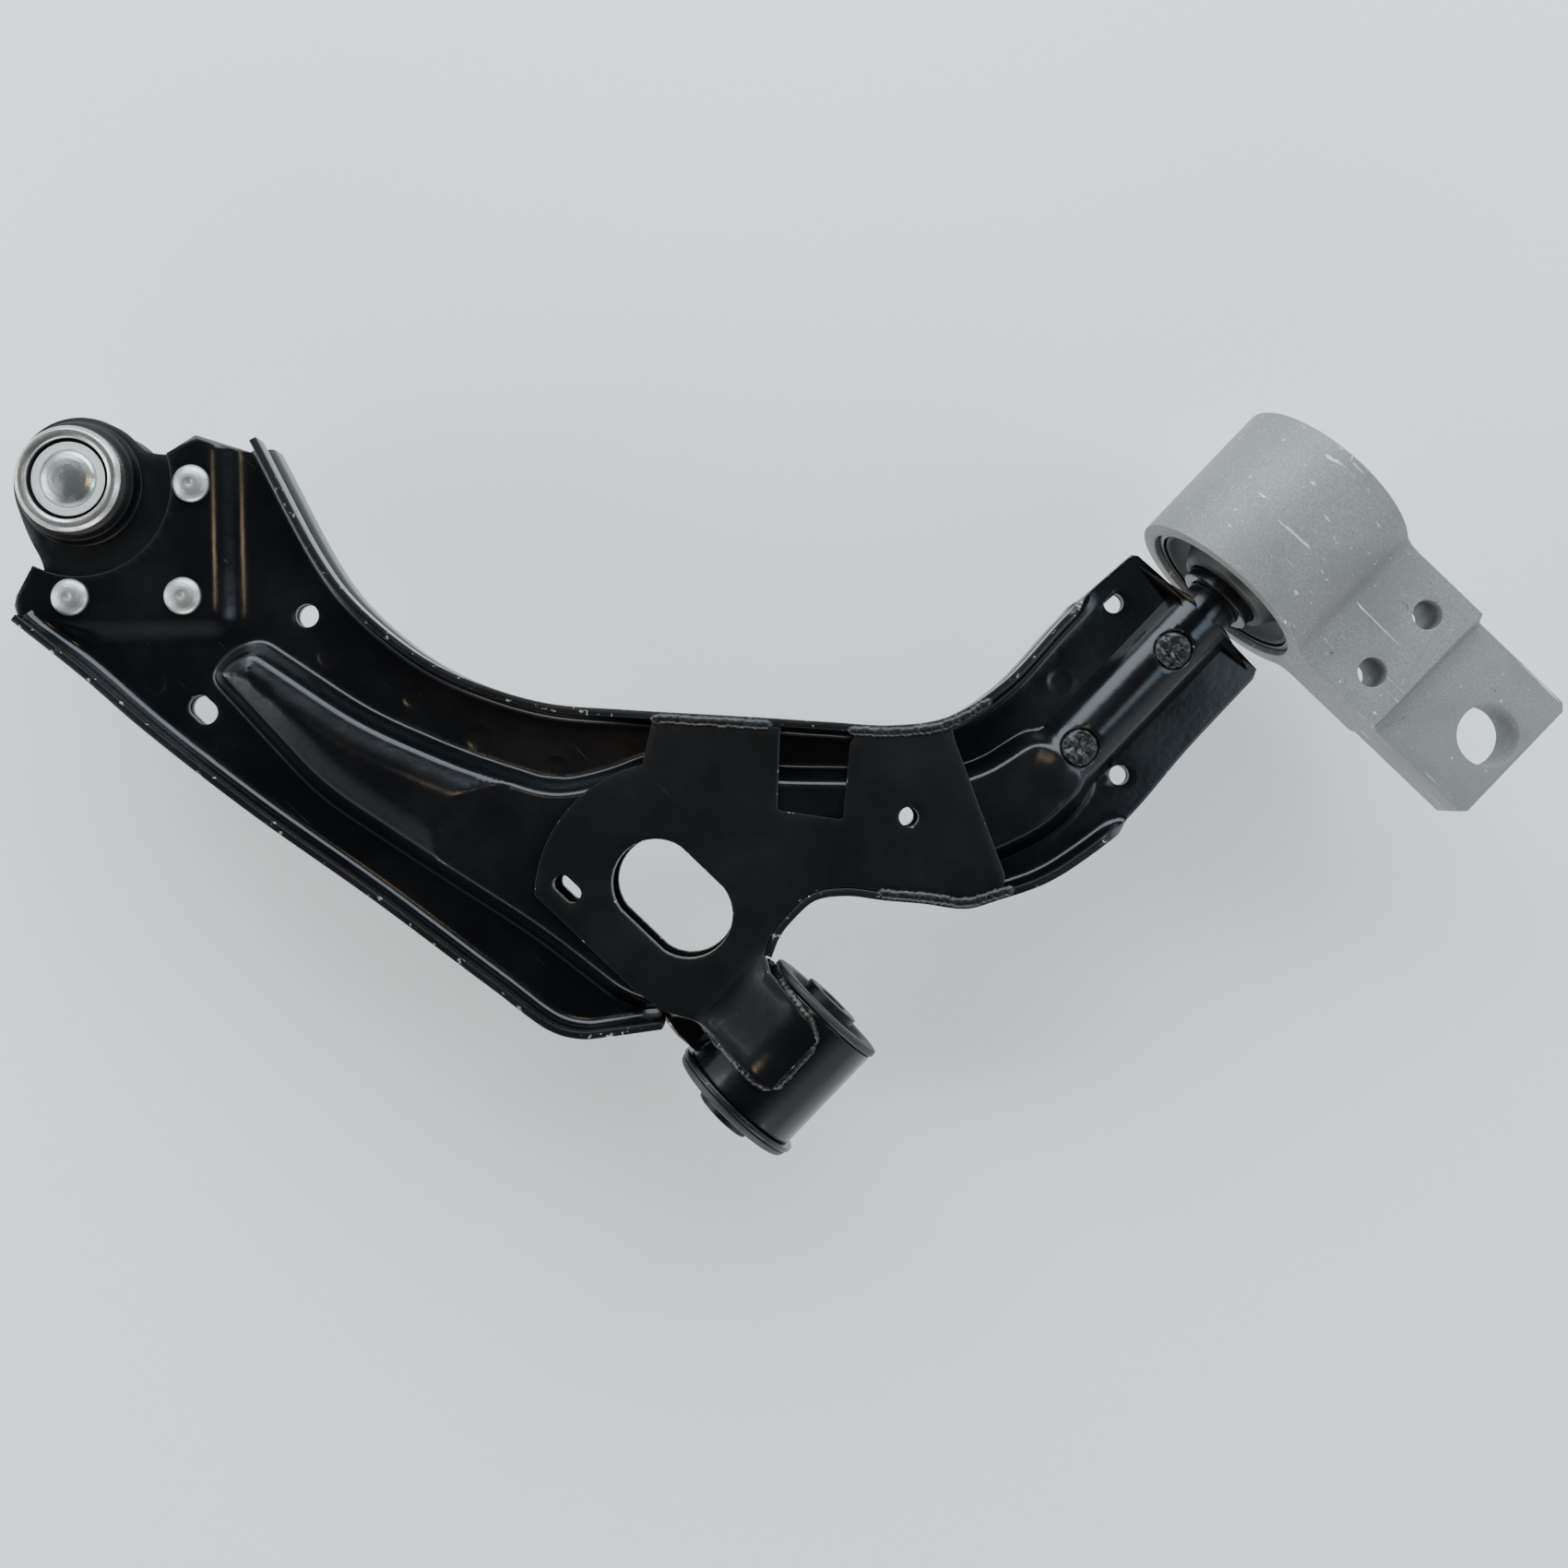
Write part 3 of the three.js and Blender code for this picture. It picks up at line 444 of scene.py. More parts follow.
def pressed_height(points, wall):
    """Height of the outer face of a pressing at each plan point."""
    x, y = points[:, 0], points[:, 1]
    hat = ease(depth(points, HAT_LOOP) / wall)
    crest = ease((depth(points, RIDGE_LOOP) - 3.5) / 16)
    z = BAND_TOP + hat * (SEAT_TOP - BAND_TOP) + hat * crest * (RIDGE_TOP - SEAT_TOP)
    z = blended(z, BAND_TOP + ease((depth(points, HEAD_LOOP) + 5) / 15) * (HEAD_TOP - BAND_TOP), 1.6)
    bulge = np.sqrt(np.maximum(RIB_R**2 - x**2, 0))
    past = np.clip(y - (PIN_INNER - 6), 0, None)
    bulge = np.sqrt(np.maximum(bulge**2 - (past * 1.2) ** 2, 0))
    z = blended(z, np.where(bulge > 0, bulge, -20 * np.maximum(np.abs(x) - RIB_R, 0)), 4.5)
    for sx, sy in SPOT_WELDS:
        away = np.hypot(x - sx, y - sy)
        z = z - 0.16 * ease((4.6 - away) / 1.6) + 0.08 * np.exp(-(((away - 5.1) / 0.8) ** 2))
    wave = np.array([noise.noise(Vector((px / 38, py / 38, 0.3))) for px, py in points])
    return z + 0.12 * wave


def fold_rows(path, side, keep, sizes):
    """Rows of corners that turn the rim up along a path: from the band, round the fold and up the wall.
    The rim is whole where keep is 1 and dies away to nothing where it is 0."""
    wall, fold, top, sheet, edge = sizes
    start = sheet + fold
    base = pressed_height(shifted(path, side * start), wall)
    rows = []
    turn = np.linspace(0, math.pi / 2, 7)
    bends = [(start - fold * math.sin(a), fold * (1 - math.cos(a)), 0.0) for a in turn]
    bends += [(sheet, fold, k / 3) for k in (1, 2, 3)]
    for k, (inward, lift, climb) in enumerate(bends):
        flat = start + (edge - start) * k / (len(bends) - 1)
        q = keep * inward + (1 - keep) * flat
        spot = shifted(path, side * q[:, None])
        up = base + lift
        up = up + climb * (top - edge - up)
        rows.append(np.column_stack([spot, base + keep * (up - base)]))
    return rows


def shared_holes():
    """Holes through the shells and the closing plate: the large one, a short slot and one by the crotch."""
    return [
        long_hole(51.6, 34.5, *LARGE_HOLE), long_hole(13, 8, 104, 8.3), circle(LEG_HOLE_R, 29, -101.5, 24),
    ]


def holes_in_shell():
    large, slot, crotch = shared_holes()
    return [
        large, slot, long_hole(13, 10, *arm(0.73, 37.8)), circle(4.9, *arm(0.719, -16.2), 28), crotch,
        circle(LEG_HOLE_R, *leg(28.2, 0.891), 24), circle(LEG_HOLE_R, *leg(-19.5, 0.634), 24),
    ]


def fine_points():
    """Extra mesh points where the pressing curves: along the walls, on the rib and at the spot welds."""
    out = []
    for loop, depths in (
        (HAT_LOOP, np.arange(-1.5, 10, 1.05)),
        (RIDGE_LOOP, np.arange(3.5, 21, 1.8)),
        (HEAD_LOOP, np.arange(-5, 12, 2.1)),
    ):
        even = resampled(loop, 2.2)
        closed = np.vstack([even[-1:], even, even[:1]])
        turn = math.copysign(1, sum(np.cross(even, np.roll(even, -1, 0))))
        for d in depths:
            ring = shifted(closed, turn * d)[1:-1]
            out += list(ring[np.abs(depth(ring, loop) - d) < 0.4])
    for x in (0, 2.2, 4.4, 6.4, 8.2, 9.8, 11.1, 12.2, 13.0, 13.6, 14.1, 14.6, 15.3, 16.3, 17.6, 19.2):
        for y in np.arange(-LEG + 1.5, PIN_INNER + 4, 3.0):
            out += [(x, y), (-x, y)]
    for sx, sy in SPOT_WELDS:
        for r in (0.01, 1.5, 2.8, 3.4, 3.9, 4.4, 4.9, 5.6):
            out += list(circle(r, sx, sy, max(1, round(r * 6))))
    return out


def shell_sheet(sizes, wells):
    """The outer face of a pressing as one open sheet, with its rims turned up."""
    edges = [
        (FRONT_RIM, 1, np.ones(len(FRONT_RIM))),
        (REAR_RIM, -1, ease((REAR_RIM[:, 1] + 214) / 14)),
        (CROTCH_RIM, -1, ease((CROTCH_RIM[:, 1] + 160) / 14)),
    ]
    strips = [fold_rows(path, side, keep, sizes) for path, side, keep in edges]
    inner = [rows[0][:, :2] for rows in strips]
    end_column = np.array([row[-1, :2] for row in strips[1]])
    start_column = np.array([row[0, :2] for row in strips[2]])
    at_head = [
        head(-22, 52.8), head(-19.4, 52.8), head(-15.6, 50.6), head(-13.6, 47.4), head(-10, 35),
        head(-17, -31), head(-20.5, -44.8),
    ]
    at_sleeve = [beside(0.5, -22), beside(-1, -22), beside(-1, 20.5), beside(8.5, 20.5)]
    outline = np.vstack([
        inner[0][::-1], at_head, inner[1], end_column[1:], [leg(34, 1), leg(-29.5, 1)],
        start_column[::-1][:-1], inner[2], at_sleeve,
    ])
    gone = [circle(HEAD_CUT, *head(0, 0), 120), *holes_in_shell()]
    if wells:
        gone += [circle(WELD_R + GAP, *leg(0, t), 40) for t in WELD_STATIONS]
    plan, triangles = plan_mesh([outline], gone, 2.6, fine_points())
    top = [np.column_stack([plan, pressed_height(plan, sizes[0])])]
    faces = [tuple(t) for t in triangles]
    finder = kdtree.KDTree(len(plan))
    for i, p in enumerate(plan):
        finder.insert((p[0], p[1], 0), i)
    finder.balance()
    count = len(plan)
    for (path, side, keep), rows in zip(edges, strips):
        index = [[finder.find((p[0], p[1], 0))[1] for p in rows[0]]]
        for row in rows[1:]:
            ids = []
            for p, w in zip(row, keep):
                _, i, gap = finder.find((p[0], p[1], 0))
                if w < 1e-6 and gap < 1e-3:
                    ids.append(i)
                else:
                    ids.append(count)
                    top.append(p[None])
                    count += 1
            index.append(ids)
        for low, high in zip(index, index[1:]):
            for i in range(len(low) - 1):
                face = (high[i], high[i + 1], low[i + 1], low[i])
                if len(set(face)) == 4:
                    faces.append(face if side > 0 else face[::-1])
    return np.vstack(top), faces


def closing_height(x, y):
    """Height of the closing plate: flat over the hat, then up on to the sleeve."""
    wrap_x, wrap_z = TONGUE_R * math.sin(WRAP), TONGUE_R * math.cos(WRAP)
    slope = PLATE_TOP + (wrap_z - PLATE_TOP) * (1 - (x - wrap_x) / RAMP)
    flat = np.full_like(x, PLATE_TOP)
    rise = slope - flat
    lower = np.where(np.abs(rise) < 3, flat + np.maximum(rise + 3, 0) ** 2 / 12, np.maximum(slope, flat))
    arc = np.sqrt(np.maximum(TONGUE_R**2 - x**2, 0))
    wrapped = np.where(x < wrap_x, arc, lower)
    return np.where(y > -60, wrapped, flat)


def bead(path, radius, seed, pitch=2.3):
    """A weld bead along a path: a lumpy tube with the ripple of each pass, tapered at both ends."""
    path = np.asarray(path, float)
    run = np.concatenate([[0], np.cumsum(np.linalg.norm(np.diff(path, axis=0), axis=1))])
    at = np.arange(0, run[-1], 0.55)
    spine = np.stack([np.interp(at, run, path[:, k]) for k in range(3)], 1)
    along = unit(np.gradient(spine, axis=0))
    across = unit(np.cross(along, (0, 0, 1.0)))
    up = np.cross(across, along)
    sides = 12
    corners, faces = [], []
    for i, (p, s) in enumerate(zip(spine, at)):
        taper = math.sqrt(max(0.02, min(1, s / 2.5, (at[-1] - s) / 2.5)))
        ripple = 0.86 + 0.16 * abs(math.sin(math.pi * s / pitch)) ** 0.6
        wander = 0.35 * noise.noise(Vector((s / 5, seed, 0)))
        for k in range(sides):
            a = 2 * math.pi * k / sides
            lump = 1 + 0.22 * noise.noise(Vector((s / 1.7, math.cos(a) * 1.3 + seed, math.sin(a) * 1.3)))
            r = radius * taper * ripple * lump
            corners.append(p + across[i] * (r * 1.15 * math.cos(a) + wander) + up[i] * r * 0.8 * math.sin(a))
    for i in range(len(spine) - 1):
        faces += band(i * sides, (i + 1) * sides, sides)
    faces += [tuple(range(sides)), tuple(range(len(corners) - 1, len(corners) - 1 - sides, -1))]
    return np.array(corners), faces


def weld_puddle(t, seed):
    """A plug weld: a puddle with rough rays and a sunken middle, down to the pin below it."""
    cx, cy = leg(0, t)
    sides, rings = 48, 12
    corners, faces = [], []
    for i in range(rings + 1):
        r = WELD_R * i / rings
        for k in range(sides):
            a = 2 * math.pi * k / sides
            x, y = r * math.cos(a), r * math.sin(a)
            ray = 0.5 + 0.5 * math.cos(5 * a + 2.2 * noise.noise(Vector((x / 3, y / 3, seed))))
            z = math.sqrt(RIB_R**2 - x * x) - 0.5
            z += 0.75 * ray * math.sin(math.pi * min(1, r / WELD_R)) - 1.5 * math.exp(-((r / 2.3) ** 2))
            rim = 0.9 * max(0, r / WELD_R - 0.85) / 0.15
            z += 0.45 * noise.noise(Vector((x / 1.4, y / 1.4, seed + 5))) - rim
            corners.append((cx + x, cy + y, z))
    start = len(corners)
    for k in range(sides):
        a = 2 * math.pi * k / sides
        corners.append((cx + WELD_R * math.cos(a), cy + WELD_R * math.sin(a), 8.2))
    for i in range(rings + 1):
        faces += band(i * sides, (i + 1) * sides, sides, flip=True)
    faces.append(tuple(range(start + sides - 1, start - 1, -1)))
    return np.array(corners), faces


def stretched(points):
    """The outline of a band stretched round some points."""
    points = sorted(map(tuple, points))

    def half(ordered):
        chain = []
        for p in ordered:
            while len(chain) > 1:
                (ax, ay), (bx, by) = chain[-2:]
                if (bx - ax) * (p[1] - ay) - (by - ay) * (p[0] - ax) > 0:
                    break
                chain.pop()
            chain.append(p)
        return chain[:-1]

    return np.array(half(points) + half(points[::-1]))


# ---- finishes ----
class Mixer:
    """Lays out the nodes of one finish."""

    def __init__(self, name):
        self.material = bpy.data.materials.new(name)
        self.material.use_nodes = True
        self.tree = self.material.node_tree
        self.shader = self.tree.nodes["Principled BSDF"]
        self.place = self.add("ShaderNodeTexCoord").outputs["Object"]

    def add(self, kind, **settings):
        made = self.tree.nodes.new(kind)
        for key, value in settings.items():
            if key in made.inputs:
                made.inputs[key].default_value = value
            else:
                setattr(made, key, value)
        return made

    def link(self, out, into):
        self.tree.links.new(out, into)

    def noise(self, scale, detail=3.0, rough=0.55, stretch=None, turn=0.0):
        """Noise by features per metre, drawn out along X by stretch and turned about Z."""
        tex = self.add("ShaderNodeTexNoise", Scale=scale, Detail=detail, Roughness=rough)
        source = self.place
        if stretch:
            spun = self.add("ShaderNodeMapping")
            spun.inputs["Rotation"].default_value = (0, 0, turn)
            spun.inputs["Scale"].default_value = (1 / stretch, 1, 1)
            self.link(source, spun.inputs["Vector"])
            source = spun.outputs["Vector"]
        self.link(source, tex.inputs["Vector"])
        return tex.outputs["Fac"]

    def ranged(self, value, low, high, to_low=0.0, to_high=1.0):
        made = self.add("ShaderNodeMapRange")
        for key, number in (("From Min", low), ("From Max", high), ("To Min", to_low), ("To Max", to_high)):
            made.inputs[key].default_value = number
        self.link(value, made.inputs["Value"])
        return made.outputs["Result"]

    def colours(self, mask, a, b):
        made = self.add("ShaderNodeMix", data_type="RGBA")
        self.link(mask, made.inputs[0])
        for socket, value in ((made.inputs[6], a), (made.inputs[7], b)):
            if isinstance(value, (tuple, list)):
                socket.default_value = (*value[:3], 1)
            else:
                self.link(value, socket)
        return made.outputs[2]

    def numbers(self, mask, a, b):
        made = self.add("ShaderNodeMix", data_type="FLOAT")
        self.link(mask, made.inputs[0])
        for socket, value in ((made.inputs[2], a), (made.inputs[3], b)):
            if isinstance(value, (int, float)):
                socket.default_value = value
            else:
                self.link(value, socket)
        return made.outputs[0]

    def either(self, a, b):
        made = self.add("ShaderNodeMath", operation="MAXIMUM")
        self.link(a, made.inputs[0])
        self.link(b, made.inputs[1])
        return made.outputs[0]

    def relief(self, *layers):
        """Surface relief from (height, depth in millimetres) layers."""
        last = None
        for height, deep in layers:
            bump = self.add("ShaderNodeBump", Distance=deep * MM)
            self.link(height, bump.inputs["Height"])
            if last:
                self.link(last, bump.inputs["Normal"])
            last = bump.outputs["Normal"]
        self.link(last, self.shader.inputs["Normal"])

    def set(self, **values):
        for key, value in values.items():
            socket = self.shader.inputs[key.replace("_", " ")]
            if isinstance(value, (tuple, list)):
                socket.default_value = (*value[:3], 1)
            elif isinstance(value, (int, float)):
                socket.default_value = value
            else:
                self.link(value, socket)
        return self.material


def shade(colour, by, plus=0.0):
    """The same colour made lighter or darker."""
    return tuple(min(1, by * c + plus) for c in colour)


def dip_paint(name, colour, shine, peel, gloss=0.42, chips=0.0, steel=(0.5, 0.5, 0.5)):
    """Black dip paint: a soft peel, dust and handling haze, and bare steel where it is chipped."""
    m = Mixer(name)
    haze = m.noise(22, 4, 0.6)
    dust = m.ranged(m.noise(2600, 2, 0.6), 0.71, 0.77)
    rubs = m.ranged(m.noise(900, 3, 0.6, stretch=26, turn=0.9), 0.69, 0.78)
    spots = m.noise(330, 5, 0.65) if chips else m.noise(240, 3, 0.65)
    flakes = m.ranged(spots, 0.80 - 0.17 * chips, 0.83 - 0.17 * chips)
    base = m.colours(m.ranged(haze, 0.45, 0.75), colour, shade(colour, 1.35, 0.002))
    base = m.colours(m.either(dust, rubs), base, shade(colour, 2.2, 0.006))
    base = m.colours(flakes, base, steel)
    rough = m.ranged(haze, 0.3, 0.75, shine, shine + 0.13)
    rough = m.numbers(m.either(dust, rubs), rough, 0.5)
    rough = m.numbers(flakes, rough, 0.34)
    m.relief((m.noise(430, 2, 0.5), peel), (m.noise(75, 2, 0.5), peel * 3), (flakes, -0.04))
    metal = m.numbers(flakes, 0.0, 1.0)
    return m.set(Base_Color=base, Roughness=rough, Metallic=metal, Specular_IOR_Level=gloss)


def turned_metal(name, colour, dark, shine, worn):
    """Bare or plated metal: fine tool marks, stains and small dents."""
    m = Mixer(name)
    stain = m.ranged(m.noise(85, 5, 0.65), 0.5 - 0.1 * worn, 0.78)
    lines = m.ranged(m.noise(1500, 2, 0.6, stretch=14, turn=0.5), 0.6, 0.75)
    base = m.colours(stain, colour, dark)
    base = m.colours(lines, base, shade(colour, 1.18))
    rough = m.numbers(stain, shine, shine + 0.22)
    m.relief((m.noise(900, 3, 0.6), 0.012 + 0.03 * worn), (m.noise(160, 2, 0.5), 0.05))
    return m.set(Base_Color=base, Roughness=rough, Metallic=0.95)


def blasted_casting(name, colour):
    """Blasted cast aluminium: an even grain, faint smudges, bright nicks and scratches."""
    m = Mixer(name)
    smudge = m.noise(30, 5, 0.6)
    grain = m.noise(1300, 4, 0.75)
    nicks = m.ranged(m.noise(330, 4, 0.6), 0.70, 0.73)
    scratch = m.ranged(m.noise(520, 3, 0.55, stretch=22, turn=1.25), 0.67, 0.72)
    pits = m.ranged(m.noise(240, 5, 0.7), 0.685, 0.71)
    base = m.colours(m.ranged(smudge, 0.42, 0.72), colour, shade(colour, 0.7))
    base = m.colours(m.ranged(grain, 0.38, 0.62), base, shade(colour, 0.68))
    base = m.colours(pits, base, shade(colour, 0.3))
    marks = m.either(nicks, scratch)
    base = m.colours(marks, base, shade(colour, 2.1))
    rough = m.numbers(marks, m.ranged(grain, 0.3, 0.7, 0.5, 0.66), 0.32)
    m.relief((grain, 0.05), (m.noise(520, 3, 0.6), 0.06), (marks, -0.05))
    return m.set(Base_Color=base, Roughness=rough, Metallic=0.4)


def moulded_rubber(name, colour, shine):
    """Moulded rubber: a soft bloom, a fine skin and a few pale scuffs."""
    m = Mixer(name)
    bloom = m.noise(60, 4, 0.6)
    scuff = m.ranged(m.noise(700, 3, 0.6, stretch=12, turn=0.4), 0.68, 0.78)
    base = m.colours(m.ranged(bloom, 0.45, 0.8), colour, shade(colour, 1.7, 0.004))
    base = m.colours(scuff, base, shade(colour, 2.4, 0.01))
    m.relief((m.noise(1700, 2, 0.6), 0.02), (m.noise(150, 2, 0.5), 0.06))
    return m.set(Base_Color=base, Roughness=m.ranged(bloom, 0.3, 0.75, shine, shine + 0.18), IOR=1.45)


def weld_metal(name, colour):
    """Painted weld: scaly, with bright droplets showing through."""
    m = Mixer(name)
    scale = m.noise(800, 4, 0.65)
    drops = m.ranged(m.noise(520, 3, 0.6), 0.68, 0.75)
    base = m.colours(m.ranged(scale, 0.4, 0.7), colour, shade(colour, 1.4, 0.002))
    base = m.colours(drops, base, (0.1, 0.1, 0.095))
    m.relief((scale, 0.12), (m.noise(1900, 2, 0.6), 0.03))
    rough = m.ranged(scale, 0.3, 0.7, 0.2, 0.42)
    return m.set(Base_Color=base, Roughness=rough, Metallic=m.numbers(drops, 0.1, 0.7))


def moulded_nylon(name, colour):
    m = Mixer(name)
    cloud = m.noise(120, 3, 0.6)
    base = m.colours(m.ranged(cloud, 0.4, 0.7), colour, shade(colour, 0.9))
    m.relief((m.noise(1200, 2, 0.5), 0.02))
    return m.set(Base_Color=base, Roughness=m.ranged(cloud, 0.3, 0.7, 0.42, 0.55))


def floor_paper(name, colour):
    m = Mixer(name)
    fibre = m.noise(300, 3, 0.6)
    base = m.colours(m.ranged(fibre, 0.3, 0.7), colour, shade(colour, 0.985))
    return m.set(Base_Color=base, Roughness=m.ranged(fibre, 0.3, 0.7, 0.7, 0.78))


FINISHES = {}


def finish_of(key):
    """One material per finish, made the first time that it is asked for."""
    if key not in FINISHES:
        c = bpy.context.scene.arm_colours
        paint, steel, zinc, peel = tuple(c.paint), tuple(c.steel), tuple(c.zinc), c.peel / MM
        dark, darker = (0.03, 0.03, 0.032), (0.012, 0.012, 0.012)
        maker, *values = {
            "paint": (dip_paint, "black_dip_paint", paint, c.paint_shine, peel, 0.42, 0.0, steel),
            "edge": (dip_paint, "chipped_cut_edge", paint, 0.26, 0.03, 0.42, 1.0, steel),
            "satin": (dip_paint, "satin_plate_paint", shade(paint, 0.6), 0.34, peel, 0.2),
            "phosphate": (turned_metal, "phosphated_steel", dark, darker, 0.36, 0.6),
            "steel": (turned_metal, "worn_bare_steel", steel, shade(steel, 0.25), 0.26, 1.0),
            "zinc": (turned_metal, "zinc_plate", zinc, shade(zinc, 0.6), 0.36, 0.5),
            "disc": (turned_metal, "pale_zinc", shade(zinc, 1.6), shade(zinc, 1.2), 0.55, 0.2),
            "dome": (turned_metal, "polished_dome", shade(zinc, 1.2), (0.34, 0.35, 0.34), 0.24, 0.3),
            "casting": (blasted_casting, "blasted_aluminium", tuple(c.casting)),
            "rubber": (moulded_rubber, "bush_rubber", tuple(c.rubber), 0.42),
            "boot": (moulded_rubber, "boot_rubber", tuple(c.rubber), 0.5),
            "weld": (weld_metal, "painted_weld", paint),
            "nylon": (moulded_nylon, "seat_nylon", (0.7, 0.67, 0.57)),
            "floor": (floor_paper, "floor_paper", tuple(bpy.context.scene.arm_stage.floor_colour)),
        }[key]
        FINISHES[key] = maker(*values)
    return FINISHES[key]


def dressed(node, key):
    """Gives a solid of the frame its finish."""
    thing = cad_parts[node]
    thing.data.materials.clear()
    thing.data.materials.append(finish_of(key))


# ---- sizes and colours a user may change ----
def number(name, description, default, **more):
    return bpy.props.FloatProperty(name=name, description=description, default=default, **more)


def length(name, description, default):
    return number(name, description, default, min=0, unit="LENGTH", precision=5)


def colour(name, description, default):
    return bpy.props.FloatVectorProperty(
        name=name, description=description, default=default, size=3, min=0, max=1, subtype="COLOR"
    )


class ShellSizes(bpy.types.PropertyGroup):
    """Sizes of the pressings and their welds."""

    sheet: length("Sheet", "Thickness of the pressed steel", 0.003)
    fold: length("Fold", "Inner radius where the rim turns up", 0.004)
    rim_top: length("Rim height", "Edge of the rim above the pivot plane", 0.016)
    wall: length("Wall width", "Plan width of the slope round the raised hat", 0.008)
    cut_round: length("Cut edge", "Rounding of the cut edges", 0.0004)
    bead: length("Bead radius", "Half width of the weld beads", 0.0019)


class BushSizes(bpy.types.PropertyGroup):
    """Sizes of the front and rear bushes."""

    core: length("Front core radius", "Inner sleeve of the front bush", 0.012)
    core_bore: length("Front bore radius", "Bore for the front bush bolt", 0.00625)
    rear_core: length("Rear core radius", "Inner sleeve of the rear bush", 0.015)
    ring: length("Rear ring radius", "Outer ring of the rear bush", 0.033)
    chamfer: length("Chamfer", "Rounding of the turned corners", 0.0004)


class BracketSizes(bpy.types.PropertyGroup):
    """Sizes of the rear bracket."""

    housing: length("Housing radius", "Outside of the round housing", 0.039)
    bore: length("Bore radius", "Bore that holds the rear bush", 0.0333)
    edge: length("Edge rounding", "Rounding of the cast edges", 0.0009)
    bolt_hole: length("Bolt hole radius", "Two holes in the plate", 0.00565)
    tongue_hole: length("Tongue hole radius", "Large hole in the tongue", 0.012)


class BallJointSizes(bpy.types.PropertyGroup):
    """Sizes of the ball joint, its boot and its rivets."""

    jacket: length("Jacket radius", "Outside of the housing under its rolled rim", 0.0204)
    dome: length("Dome radius", "Raised middle of the cover", 0.0105)
    rivet: length("Rivet head radius", "Domed heads of the three rivets", 0.00725)
    stud: length("Stud radius", "Plain end of the stud", 0.009)


class FinishColours(bpy.types.PropertyGroup):
    """Colours of the finishes."""

    paint: colour("Paint", "Black dip paint", (0.0035, 0.0038, 0.0045))
    steel: colour("Bare steel", "Steel where it is bare", (0.52, 0.51, 0.49))
    zinc: colour("Zinc", "Zinc plated rivets and cover", (0.44, 0.46, 0.45))
    casting: colour("Casting", "Blasted aluminium", (0.25, 0.255, 0.245))
    rubber: colour("Rubber", "Bush and boot rubber", (0.012, 0.012, 0.013))
    paint_shine: number("Paint roughness", "Lower is glossier", 0.14, min=0, max=1, subtype="FACTOR")
    peel: length("Orange peel", "Depth of the ripple in the paint", 0.00003)


class StageSettings(bpy.types.PropertyGroup):
    """Floor, lights and camera."""

    floor_colour: colour("Floor", "Pale floor", (0.93, 0.93, 0.93))
    sky: number("Sky", "Strength of the light from the sky", 1.0, min=0, subtype="UNSIGNED")
    key: number("Key light", "Large soft light", 58, min=0, unit="POWER")
    fill: number("Fill light", "Soft light from the other side", 30, min=0, unit="POWER")
    lamp: number("Warm lamp", "Small warm light overhead", 0.4, min=0, unit="POWER")
    distance: length("Camera height", "Camera above the pivot plane", 0.6)
    lens: number("Lens", "Focal length in millimetres", 35.3, min=1, subtype="DISTANCE_CAMERA")


class CONTROLARM_OT_shells(bpy.types.Operator):
    """Press the upper and lower shells, with folded rims, ridge, rib and spot weld marks"""

    bl_idname = "control_arm.shells"
    bl_label = "Pressed Shells"

    def execute(self, context):
        s = context.scene.arm_shell
        sizes = [v / MM for v in (s.wall, s.fold, s.rim_top, s.sheet, s.cut_round)]
        finishes = [finish_of("paint"), finish_of("edge")]
        for word, up in (("upper", 1), ("lower", -1)):
            corners, made, slots = sheet_body(*shell_sheet(sizes, wells=up > 0), *sizes[3:])
            corners, made = corners * np.array([1, 1, up]), [f[::up] for f in made]
            name, node = f"pressed_shell_{word}", f"{word}_shell"
            piece(name, corners, made, finishes, "arm", [node], "black_paint", slots)
        return {"FINISHED"}


